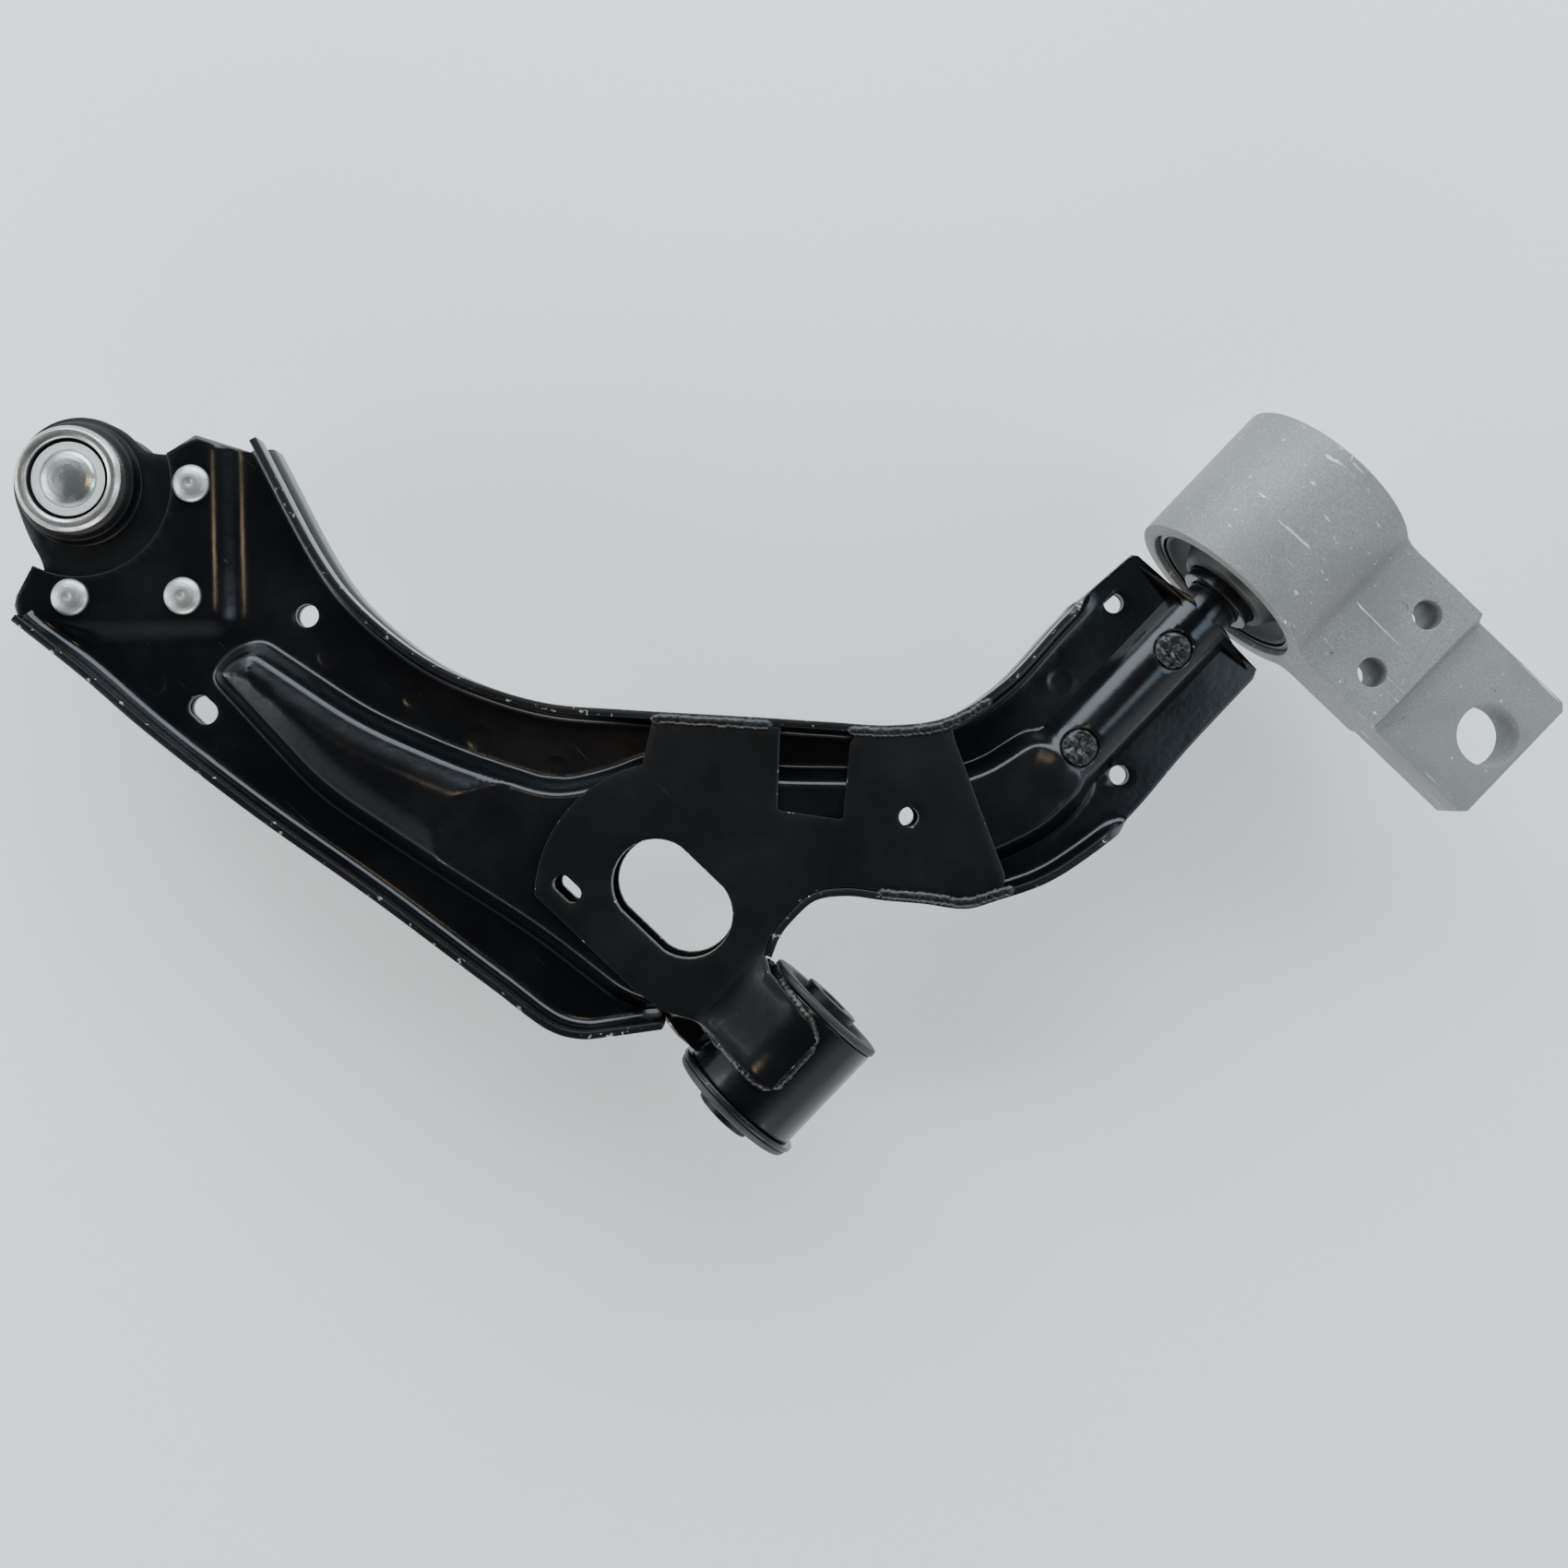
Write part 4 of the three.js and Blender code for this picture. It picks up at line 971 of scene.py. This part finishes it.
class CONTROLARM_OT_closing_plate(bpy.types.Operator):
    """Cut and bend the closing plate over the hat and up on to the sleeve"""

    bl_idname = "control_arm.closing_plate"
    bl_label = "Closing Plate"

    def execute(self, context):
        s = context.scene.arm_shell
        sheet, edge = s.sheet / MM, s.cut_round / MM
        (cx, cy), pad_r = LARGE_HOLE, 52
        turn = np.radians(np.linspace(-34, 42, 24))
        pad = [(cx + pad_r * math.cos(a), cy + pad_r * math.sin(a)) for a in turn]
        corners = np.array([arm(0.37, -78), *pad, *PLATE_STATIONS])
        soft = np.full(len(corners), 2.0)
        soft[1 : len(pad) + 1] = 0
        plan = rounded(corners, soft, 3)
        off = sheet + GAP + edge
        room = np.vstack([
            shifted(FRONT_RIM, off)[::-1], [head(5, 0)], shifted(REAR_RIM, -off), shifted(CROTCH_RIM, -off),
            [beside(1.5, -22), (-2.9, -22), (-2.9, 20), beside(8.5, 20)],
        ])
        bends = (30, 32, 33.5, 35, 37, 12.2, 13.5, 11, 9, 6, 3, 0)
        rows = [(x, y) for x in bends for y in np.arange(-24, 16, 2.2)]
        spots, triangles = plan_mesh([plan, room], shared_holes(), 3.2, rows)
        wave = np.array([noise.noise(Vector((x / 30, y / 30, 7))) for x, y in spots])
        x, y = spots.T
        dish = ease((36 - x) / 9) * 1.3 * np.minimum((np.abs(y + 6.5) / 15) ** 2, 1.4)
        dish = dish * ease((y + 34) / 6)
        top = np.column_stack([spots, closing_height(x, y) - 0.06 + 0.05 * wave + dish])
        corners, made, slots = sheet_body(top, [tuple(t) for t in triangles], sheet, edge)
        middle = [np.mean([corners[c][:2] for c in f], axis=0) for f in made]
        slots = [2 if slot == 0 and x < 34 and y > -30 else slot for slot, (x, y) in zip(slots, middle)]
        finishes = [finish_of("satin"), finish_of("edge"), finish_of("paint")]
        piece("closing_plate_bent", corners, made, finishes, "arm", ["closing_plate"], "black_paint", slots)
        return {"FINISHED"}


class CONTROLARM_OT_welds(bpy.types.Operator):
    """Lay the plug welds and the weld beads"""

    bl_idname = "control_arm.welds"
    bl_label = "Welds"

    def execute(self, context):
        radius = context.scene.arm_shell.bead / MM
        for t, word, seed in zip(WELD_STATIONS, ("inner", "outer"), (3.0, 11.0)):
            name, node = f"plug_weld_puddle_{word}", f"plug_weld_{word}"
            piece(name, *weld_puddle(t, seed), [finish_of("weld")], "arm", [node], "black_paint")
        rear, crotch = shifted(REAR_RIM, -2.6), shifted(CROTCH_RIM, -2.6)
        rows = [rear[(rear[:, 0] > low) & (rear[:, 0] < high)] for low, high in ((90, 127), (37, 70))]
        rows.append(crotch[(crotch[:, 0] > -20) & (crotch[:, 0] < 19) & (crotch[:, 1] > -112)])
        runs = [self.run(*row.T, 15.7) for row in rows]
        x = np.linspace(31, -4, 24)
        on_sleeve = np.sqrt(np.maximum((SLEEVE_R + 1.2) ** 2 - x * x, 60)) + 0.2
        for ends in ([7.2, 9.6, 10.8], [-15.6, -20.4, -24.4]):
            runs.append(self.run(x, np.interp(x, [-4, 4, 34], ends), on_sleeve))
        runs.append(self.run(-3.6, np.linspace(7.5, -16, 14), SLEEVE_R + 1.0))
        y = np.linspace(-19, 17, 20)
        runs += [self.run(25.2, y, -10.6), self.run(27.6, y, 2.0)]
        bodies = [bead(run, radius, 3.1 * i) for i, run in enumerate(runs)]
        piece("weld_beads", *joined(*bodies), [finish_of("weld")], "arm", slot="black_paint", sharp=60)
        return {"FINISHED"}

    def run(self, x, y, z):
        """The line of a bead, where a single number holds all along it."""
        return np.column_stack(np.broadcast_arrays(x, y, z))


class CONTROLARM_OT_front_bush(bpy.types.Operator):
    """Turn the front sleeve and the bush in it"""

    bl_idname = "control_arm.front_bush"
    bl_label = "Front Bush"

    def execute(self, context):
        s = context.scene.arm_bush
        core, bore, soft = s.core / MM, s.core_bore / MM, s.chamfer / MM
        inner, outer = SLEEVE_R - SLEEVE_WALL, SLEEVE_R
        back, front = SLEEVE_BACK, SLEEVE_FRONT
        tube = [(inner, back), (outer, back), (outer, front), (inner, front)]
        shell_r, rubber_r = inner - GAP, inner - 2 * GAP - 2
        lip = front + GAP
        shell = [
            (rubber_r + GAP, back), (shell_r, back), (shell_r, lip), (LIP_R, lip), (LIP_R, lip + 2),
            (rubber_r + GAP, lip + 2),
        ]
        low, high = back - GAP, lip + 2 + GAP
        rubber = [
            (core + GAP, back - 1), (core + 2, back - 0.6), (core + 4, back + 3), (rubber_r - 3, back + 3),
            (rubber_r - 1, low - 3), (outer + 0.5, low - 3), (outer + 0.5, low), (rubber_r, low),
            (rubber_r, high), (LIP_R - 0.5, high), (LIP_R - 1.5, high + 3), (rubber_r - 1, high + 3),
            (rubber_r - 3, front - 3),
            (core + 4, front - 3), (core + 2, front + 0.6), (core + GAP, front + 1),
        ]
        sleeve = [(bore, CORE_BACK), (core, CORE_BACK), (core, CORE_FRONT), (bore, CORE_FRONT)]
        turned_pieces(
            ("sleeve_tube", tube, soft, "paint", "arm", "front_sleeve", "black_paint"),
            ("bush_flange_shell", shell, soft, "paint", "arm", "front_bush_outer_shell", "black_paint"),
            ("bush_rubber_front", rubber, 1.1, "rubber", "arm", "front_bush_rubber", "bush_rubber"),
            (
                "bush_core_front", sleeve, soft, "phosphate", "front_core", "front_bush_inner_sleeve",
                "bare_steel",
            ),
        )
        low, high = lip + 0.55, lip + 1.5
        worn = [(LIP_R - 0.9, low), (LIP_R - 0.02, low), (LIP_R - 0.02, high), (LIP_R - 0.9, high)]
        corners, faces = along_y(*turned([(r + 0.05, h) for r, h in worn], 112, 0.2))
        piece("flange_worn_edge", corners, faces, [finish_of("edge")], "arm", slot="bare_steel")
        return {"FINISHED"}


class CONTROLARM_OT_rear_bush(bpy.types.Operator):
    """Turn the rear pin and the bush on it"""

    bl_idname = "control_arm.rear_bush"
    bl_label = "Rear Bush"

    def execute(self, context):
        s = context.scene.arm_bush
        core, ring, soft = s.rear_core / MM, s.ring / MM, s.chamfer / MM
        face, back = REAR_FACE, REAR_BACK
        tip, inner = back - 6, PIN_INNER
        pin = [
            (0, tip), (PIN_R - 2, tip), (PIN_R, tip + 2), (PIN_R, inner - 2), (PIN_R - 2, inner), (0, inner),
        ]
        tube = [(PIN_R + GAP, back - 3), (core, back - 3), (core, face + 3), (PIN_R + GAP, face + 3)]
        hoop_wall = 2.4
        rubber_r = ring - hoop_wall - GAP
        middle = (rubber_r + core) / 2
        rubber = [
            (core + GAP, back + 1), (core + 3.4, back + 1.4), (core + 4.6, back + 3.4), (middle, back + 9),
            (rubber_r - 3, back + 6), (rubber_r - 1.4, back + 3), (rubber_r, back + 3), (rubber_r, face - 3),
            (rubber_r - 1.4, face - 3), (rubber_r - 3, face - 6), (middle, face - 9),
            (core + 4.6, face - 3.4), (core + 3.4, face - 1.4), (core + GAP, face - 1),
        ]
        inside = ring - hoop_wall
        hoop = [(inside, back + 2), (ring, back + 2), (ring, face - 2), (inside, face - 2)]
        turned_pieces(
            ("pin_rear", pin, 0.6, "paint", "arm", "rear_pin", "black_paint"),
            ("bush_core_rear", tube, soft, "paint", "arm", "rear_bush_inner_sleeve", "black_paint"),
            ("bush_rubber_rear", rubber, 1.6, "rubber", "arm", "rear_bush_rubber", "bush_rubber"),
            ("bush_ring_rear", hoop, soft, "paint", "rear_mount", "rear_bush_outer_ring", "black_paint"),
        )
        return {"FINISHED"}


class CONTROLARM_OT_bracket(bpy.types.Operator):
    """Cast the rear bracket: round housing, bolted plate and tongue"""

    bl_idname = "control_arm.bracket"
    bl_label = "Rear Bracket"

    def execute(self, context):
        s = context.scene.arm_bracket
        r, bore, edge = s.housing / MM, s.bore / MM, s.edge / MM
        tip, root, crest, base = -124.7, -75, 16, 10
        join, foot = math.asin(crest / r), math.asin(-base / r)
        turn = np.linspace(math.pi - foot, 3 * math.pi - join, 110)
        arc = [(r * math.cos(a), r * math.sin(a)) for a in turn]
        loop = np.array([(tip, -base), *arc, (root, crest), (root - 3, base), (tip, base)], float)
        loop[1, 0] -= 0.5
        section = self.filleted(loop, 1, len(arc), 6.0)
        body = self.prism([(x, REAR_BACK, z) for x, z in section], (0, REAR_FACE - REAR_BACK, 0))
        half = (REAR_FACE - REAR_BACK) / 2
        side = [
            (r + 2, half + 2), (root, half + 2), (root, half), (-77.5, half - 1), (-122.2, half - 1),
            (tip, half - 3.5),
        ]
        plan = [(x, REAR_Y - y) for x, y in side] + [(x, REAR_Y + y) for x, y in reversed(side)]
        trim = self.prism([(x, y, -60) for x, y in plan], (0, 0, 120))
        tools = [self.rod(bore, (0, REAR_Y, 0), "Y", 128)]
        for x, y, size in (
            (-60.1, 15.1, s.bolt_hole), (-60.1, -15.1, s.bolt_hole), (-110.2, 0, s.tongue_hole),
        ):
            tools.append(self.rod(size / MM, (x, REAR_Y + y, 0), "Z", 64))
        self.cut(body, trim, "INTERSECT")
        for tool in tools:
            self.cut(body, tool, "DIFFERENCE")
        bevel = body.modifiers.new("cast_edge", "BEVEL")
        bevel.width, bevel.segments, bevel.limit_method = edge * MM, 3, "ANGLE"
        bevel.angle_limit = math.radians(28)
        done = body.evaluated_get(context.evaluated_depsgraph_get())
        mesh = bpy.data.meshes.new_from_object(done)
        for thing in (body, trim, *tools):
            bpy.data.objects.remove(thing)
        corners = [tuple(v.co / MM) for v in mesh.vertices]
        faces = [tuple(p.vertices) for p in mesh.polygons]
        finishes = [finish_of("casting")]
        piece("bracket_casting", corners, faces, finishes, "rear_mount", ["rear_bracket"], "cast_aluminium")
        return {"FINISHED"}

    def filleted(self, loop, first, last, radius):
        """Rounds the two inside corners where the plate leaves the housing."""
        out = []
        for i, p in enumerate(loop):
            if i not in (first, last):
                out.append(p)
                continue
            outer, inner = (loop[i - 1], i + 3) if i == first else (loop[i + 1], i - 3)
            away = unit(outer - p)
            start, stop = p + away * radius, loop[inner]
            turn = np.linspace(0, 1, 9)
            curve = [start * (1 - t) ** 2 + 2 * p * t * (1 - t) + stop * t * t for t in turn]
            out += curve if i == first else curve[::-1]
        skipped = {first + 1, first + 2, last - 1, last - 2}
        hidden = [tuple(loop[k]) for k in skipped]
        return [tuple(p) for p in out if tuple(p) not in hidden]

    def blank(self, build):
        mesh = bpy.data.meshes.new("blank")
        shape = bmesh.new()
        build(shape)
        bmesh.ops.recalc_face_normals(shape, faces=shape.faces)
        shape.to_mesh(mesh)
        shape.free()
        thing = bpy.data.objects.new("blank", mesh)
        bpy.context.scene.collection.objects.link(thing)
        return thing

    def prism(self, points, along):
        def build(shape):
            base = shape.faces.new([shape.verts.new(Vector(p) * MM) for p in points])
            grown = bmesh.ops.extrude_face_region(shape, geom=[base])
            moved = [v for v in grown["geom"] if isinstance(v, bmesh.types.BMVert)]
            bmesh.ops.translate(shape, verts=moved, vec=Vector(along) * MM)

        return self.blank(build)

    def rod(self, radius, centre, axis, sides):
        ring = circle(radius, sides=sides)
        if axis == "Z":
            return self.prism([(centre[0] + a, centre[1] + b, -60) for a, b in ring], (0, 0, 120))
        return self.prism([(centre[0] + a, centre[1] - 60, centre[2] + b) for a, b in ring], (0, 120, 0))

    def cut(self, body, tool, operation):
        made = body.modifiers.new(operation.lower(), "BOOLEAN")
        made.operation, made.object, made.solver = operation, tool, "EXACT"


class CONTROLARM_OT_ball_joint(bpy.types.Operator):
    """Forge the ball joint housing and flange, and close it with its cover"""

    bl_idname = "control_arm.ball_joint"
    bl_label = "Ball Joint"

    def execute(self, context):
        s = context.scene.arm_ball
        jacket, dome = s.jacket / MM, s.dome / MM
        bore, cap_r = jacket - 4.1, jacket - 2.9
        foot, cap_foot = -9.98, 12.8
        lip, rim = cap_foot + 2.7, cap_foot + 4.3
        collar = -17.5
        groove = collar + 6
        cx, cy = head(0, 0)
        profile = [
            (bore, foot - GAP), (bore, cap_foot - GAP), (cap_r + GAP, cap_foot - GAP), (cap_r + GAP, lip),
            (bore - 1, lip), (bore - 0.7, rim - 0.5), (bore + 0.6, rim), (jacket - 1.6, rim),
            (jacket, rim - 1.6), (jacket, 10.6), (jacket + 2.2, 10.1), (jacket + 2.6, 9.2),
            (jacket + 2.9, 7.2), (jacket + 3.5, 6.0), (jacket + 4.1, 5.5), (jacket + 4.1, -3.8),
            (jacket + 3.4, -5.2), (jacket + 2, -6.8), (jacket + 2, groove), (jacket, groove),
            (jacket, collar + 2), (jacket + 1.6, collar + 2), (jacket + 1.6, collar),
            (bore - 1.7, collar), (bore - 5.4, foot - GAP),
        ]
        corners, faces = turned(profile, 128, 0.5)
        slots = [1 if np.mean([corners[c][2] for c in f]) > 11.5 else 0 for f in faces]
        lands = [p for x, y in RIVETS.values() for p in circle(9, x, y, 24)]
        outline = self.waisted(stretched([*circle(FLANGE_R, cx, cy, 72), *lands]))
        plan, triangles = plan_mesh([outline], [circle(jacket + 3.2, cx, cy, 72)], 3.5)
        out = np.hypot(plan[:, 0] - cx, plan[:, 1] - cy)
        top = np.column_stack([plan, 4.5 + 0.9 * ease((jacket + 8 - out) / 6)])
        flange, made, _ = sheet_body(top, [tuple(t) for t in triangles], 9.2, 0.5)
        both = joined(moved((corners, faces), cx, cy), (flange, made))
        slots += [0] * len(made)
        finishes = [finish_of("satin"), finish_of("steel")]
        piece("ball_joint_forging", *both, finishes, "arm", ["ball_joint_housing"], "black_paint", slots)
        up = cap_foot + 2.4
        cap = [
            (0, cap_foot), (cap_r, cap_foot), (cap_r, up), (cap_r - 1.6, up - 0.2), (bore - 1.2, up - 1.3),
            (bore - 1.9, up - 1.3), (bore - 2.1, up - 0.1), (bore - 2.5, up), (dome + 1.4, up),
            (dome + 0.8, up + 0.05), (dome + 0.35, up - 0.45), (dome + 0.05, up + 0.3),
            (dome * 0.9, up + 0.95), (dome * 0.72, up + 1.4), (dome * 0.5, up + 1.72),
            (dome * 0.25, up + 1.92), (0, up + 2),
        ]
        corners, faces = turned(cap, 128, 0.15)
        out = [np.hypot(*corners[list(f)][:, :2].T).mean() for f in faces]
        # The outer ring of the cover, down into its groove under the rolled rim, takes the dark phosphated
        # finish, so the cover is darker in the groove; the middle takes the polished dome finish.
        slots = [1 if r < dome + 0.3 else 2 if r > bore - 2.2 else 0 for r in out]
        corners, faces = moved((corners, faces), cx, cy)
        finishes = [finish_of("disc"), finish_of("dome"), finish_of("phosphate")]
        piece("ball_joint_cover", corners, faces, finishes, "arm", ["ball_joint_cap"], "zinc", slots)
        dressed("ball_seat", "nylon")
        return {"FINISHED"}

    def waisted(self, loop):
        """Draws the flange in a little between the ball and each outer rivet."""
        loop = resampled(loop, 1.6)
        for dx, dy, deep in ((-9, 36.5, 2.2), (-9, -33.5, 4.6)):
            spot = np.array(head(dx, dy))
            away = np.hypot(*(loop - spot).T)
            inward = np.array(head(-13, 0)) - spot
            loop = loop + np.exp(-((away / 9) ** 2))[:, None] * inward / np.hypot(*inward) * deep
        return loop


class CONTROLARM_OT_rivets(bpy.types.Operator):
    """Close the three rivets over the shells and the ball joint flange"""

    bl_idname = "control_arm.rivets"
    bl_label = "Rivets"

    def execute(self, context):
        r = context.scene.arm_ball.rivet / MM
        top = HEAD_TOP + GAP
        dome = [
            (4, top), (r, top), (r, top + 0.7), (r * 0.96, top + 1.25), (r * 0.86, top + 1.9),
            (r * 0.7, top + 2.5), (r * 0.5, top + 2.92), (r * 0.32, top + 3.1), (r * 0.22, top + 3.05),
            (r * 0.12, top + 2.9), (0, top + 2.86),
        ]
        profile = [(q, -h) for q, h in reversed(dome)] + dome
        for i, (name, (x, y)) in enumerate(RIVETS.items()):
            corners, faces = turned(profile, 64, 0.15)
            beaten = [0.12 * noise.noise(Vector((a / 3, b / 3, c / 3 + 9 * i))) for a, b, c in corners]
            corners = corners * (1 + np.array(beaten)[:, None] * np.array([0.06, 0.06, 0.0]))
            body = moved((corners, faces), x, y)
            piece(f"rivet_closed_{name}", *body, [finish_of("zinc")], "arm", [f"rivet_{name}"], "zinc")
        return {"FINISHED"}


class CONTROLARM_OT_stud_and_boot(bpy.types.Operator):
    """Turn the ball stud and fit the dust boot with its two wire retainers"""

    bl_idname = "control_arm.stud_and_boot"
    bl_label = "Stud and Boot"

    def execute(self, context):
        s = context.scene.arm_ball
        jacket, stud = s.jacket / MM, s.stud / MM
        cx, cy = head(0, 0)
        end, shoulder, groove = -75.0, -40.0, -60.0
        ball_r, bolt_r = 13, 4.5
        turn = np.radians(np.linspace(-58, 86, 30))
        ball = [(ball_r * math.cos(a), BALL_Z + ball_r * math.sin(a)) for a in turn]
        steps = np.linspace(-bolt_r, bolt_r, 11)
        pinch = [(stud - 1.8 * math.sqrt(max(0, 1 - (z / bolt_r) ** 2)), groove + z) for z in steps]
        profile = [
            (0, end), (stud - 2, end), (stud, end + 2), *pinch, (stud, shoulder), (stud + 1, shoulder + 1),
            (stud + 1, shoulder + 7), (stud - 1.4, shoulder + 15), (stud - 2.2, shoulder + 21), *ball,
            (0, BALL_Z + ball_r),
        ]
        body = moved(turned(profile, 96, 0.3), cx, cy)
        piece("stud_turned", *body, [finish_of("steel")], "stud", ["ball_stud"], "bare_steel")

        top, foot, sh = -11.8, -38.4, stud + 1
        outer = [
            (jacket + 2.2, top), (jacket + 2.2, top - 3), (jacket + 3.7, top - 4), (jacket + 4, top - 6.5),
            (jacket + 4.8, top - 10), (jacket + 3, top - 14.5), (jacket - 1.8, top - 18.4),
            (jacket - 5.4, top - 20.8), (sh + 3.6, foot + 4), (sh + 3.4, foot + 3), (sh + 2.9, foot + 2),
            (sh + 3.4, foot + 1), (sh + 3.4, foot),
        ]
        inner = [
            (sh + 1.2, foot), (sh + 1.2, foot + 5), (sh + 3.6, top - 18.9), (jacket - 2.8, top - 16.6),
            (jacket + 1.2, top - 13.4), (jacket + 3, top - 9.8), (jacket + 2.2, top - 7.1),
            (jacket + 1.9, top - 6.3), (jacket + 1.9, top - 3.4), (jacket + GAP, top - 3.4),
            (jacket + GAP, top),
        ]
        body = moved(turned([*outer, *inner], 96, 1.6), cx, cy)
        boot = piece("boot_moulded", *body, [finish_of("boot")], None, ["dust_boot"], "boot_rubber", sharp=60)
        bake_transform(boot)
        for name, body, radius, z in (
            ("large", "arm", jacket + 3.3, top - 1.7), ("small", "boot_end", sh + 4.6, foot + 2),
        ):
            ring, node = moved(self.wire(radius, 0.75), cx, cy, z), f"boot_retainer_{name}"
            piece(f"retainer_wire_{name}", *ring, [finish_of("steel")], body, [node], "bare_steel")
        return {"FINISHED"}

    def wire(self, radius, half):
        """A spring wire ring whose turns show as fine ribs."""
        turns, sides = 240, 10
        corners, faces = [], []
        for i in range(turns):
            a = 2 * math.pi * i / turns
            r = half * (0.88 + 0.12 * math.cos(math.pi * i))
            for k in range(sides):
                b = 2 * math.pi * k / sides
                out = radius + r * math.cos(b)
                corners.append((out * math.cos(a), out * math.sin(a), r * math.sin(b)))
        for i in range(turns):
            faces += band(i * sides, (i + 1) % turns * sides, sides, flip=True)
        return np.array(corners), faces


class CONTROLARM_OT_stage(bpy.types.Operator):
    """Lay the pale floor and set the soft lights and the camera"""

    bl_idname = "control_arm.stage"
    bl_label = "Stage"

    def execute(self, context):
        scene = context.scene
        s = scene.arm_stage
        low = CAD_BOX[0].z - 0.0005
        mesh = bpy.data.meshes.new("floor")
        shape = bmesh.new()
        bmesh.ops.create_grid(shape, x_segments=8, y_segments=8, size=3)
        bmesh.ops.translate(shape, verts=shape.verts, vec=(0, 0, low))
        shape.to_mesh(mesh)
        shape.free()
        mesh.materials.append(finish_of("floor"))
        floor = bpy.data.objects.new("floor", mesh)
        scene.collection.objects.link(floor)
        world = scene.world or bpy.data.worlds.new("studio")
        scene.world = world
        world.use_nodes = True
        tree = world.node_tree
        sky = next(n for n in tree.nodes if n.type == "BACKGROUND")
        sky.inputs["Strength"].default_value = s.sky
        way = tree.nodes.new("ShaderNodeTexCoord").outputs["Generated"]
        split = tree.nodes.new("ShaderNodeSeparateXYZ")
        ramp = tree.nodes.new("ShaderNodeValToRGB")
        tree.links.new(way, split.inputs["Vector"])
        tree.links.new(split.outputs["Z"], ramp.inputs["Fac"])
        tree.links.new(ramp.outputs["Color"], sky.inputs["Color"])
        low_end, high_end = ramp.color_ramp.elements
        low_end.position, low_end.color = 0.45, (0.93, 0.96, 1.0, 1)
        high_end.position, high_end.color = 0.86, (0.035, 0.038, 0.042, 1)
        centre = Vector((0.072, -0.0777, 0))
        up = Vector((0.69, -0.72, 0))
        right = Vector((-0.72, -0.69, 0))
        for name, ahead, aside, height, size, power, tint in (
            ("key_soft", 1.5, 0, 0.95, (2.6, 1.2), s.key, (0.8, 0.91, 1.0)),
            ("fill_soft", -2.1, -0.3, 0.7, (2.4, 0.9), s.fill, (1.0, 0.99, 0.97)),
            ("side_soft", 0, 1.25, 1.3, (0.6, 1.5), s.fill * 0.35, (0.72, 0.87, 1.0)),
            ("other_soft", 0, -2.0, 0.7, (1.2, 1.6), s.fill * 0.8, (0.95, 0.98, 1.0)),
            ("warm_lamp", 0.24, -0.14, 0.95, (0.14, 0.09), s.lamp, (1.0, 0.76, 0.48)),
        ):
            at = up * ahead + right * aside + Vector((0, 0, height))
            lamp = bpy.data.lights.new(name, "AREA")
            lamp.shape, lamp.size, lamp.size_y = "RECTANGLE", *size
            lamp.energy, lamp.color = power, tint
            thing = bpy.data.objects.new(name, lamp)
            thing.location = centre + at
            thing.rotation_euler = (-at).to_track_quat("-Z", "Y").to_euler()
            scene.collection.objects.link(thing)
        camera = bpy.data.objects.new("camera", bpy.data.cameras.new("camera"))
        camera.data.lens, camera.data.sensor_width = s.lens, 36
        camera.data.clip_start, camera.data.clip_end = 0.01, 20
        camera.location = centre + Vector((0, 0, s.distance))
        camera.rotation_euler = (0, 0, math.atan2(right.y, right.x))
        scene.collection.objects.link(camera)
        scene.camera = camera
        return {"FINISHED"}


GROUPS = {
    "arm_shell": ShellSizes, "arm_bush": BushSizes, "arm_bracket": BracketSizes, "arm_ball": BallJointSizes,
    "arm_colours": FinishColours, "arm_stage": StageSettings,
}
OPERATORS = (
    CONTROLARM_OT_stage, CONTROLARM_OT_shells, CONTROLARM_OT_closing_plate, CONTROLARM_OT_welds,
    CONTROLARM_OT_front_bush, CONTROLARM_OT_rear_bush, CONTROLARM_OT_bracket, CONTROLARM_OT_ball_joint,
    CONTROLARM_OT_rivets, CONTROLARM_OT_stud_and_boot,
)


class CONTROLARM_PT_panel(bpy.types.Panel):
    """Lists the pieces and their sizes in the sidebar."""

    bl_idname = "CONTROLARM_PT_panel"
    bl_label = "Control Arm"
    bl_space_type = "VIEW_3D"
    bl_region_type = "UI"
    bl_category = "Control Arm"

    def draw(self, context):
        layout = self.layout
        for operator in OPERATORS:
            layout.operator(operator.bl_idname)
        for key, group in GROUPS.items():
            box = layout.box()
            box.label(text=group.__doc__.rstrip("."))
            for name in group.__annotations__:
                box.prop(getattr(context.scene, key), name)


CLASSES = (*GROUPS.values(), *OPERATORS, CONTROLARM_PT_panel)


def register():
    for cls in CLASSES:
        bpy.utils.register_class(cls)
    for key, group in GROUPS.items():
        setattr(bpy.types.Scene, key, bpy.props.PointerProperty(type=group))


def unregister():
    for key in GROUPS:
        delattr(bpy.types.Scene, key)
    for cls in reversed(CLASSES):
        bpy.utils.unregister_class(cls)


def main():
    register()
    for operator in OPERATORS:
        family, name = operator.bl_idname.split(".")
        getattr(getattr(bpy.ops, family), name)()


if __name__ == "__main__":
    main()
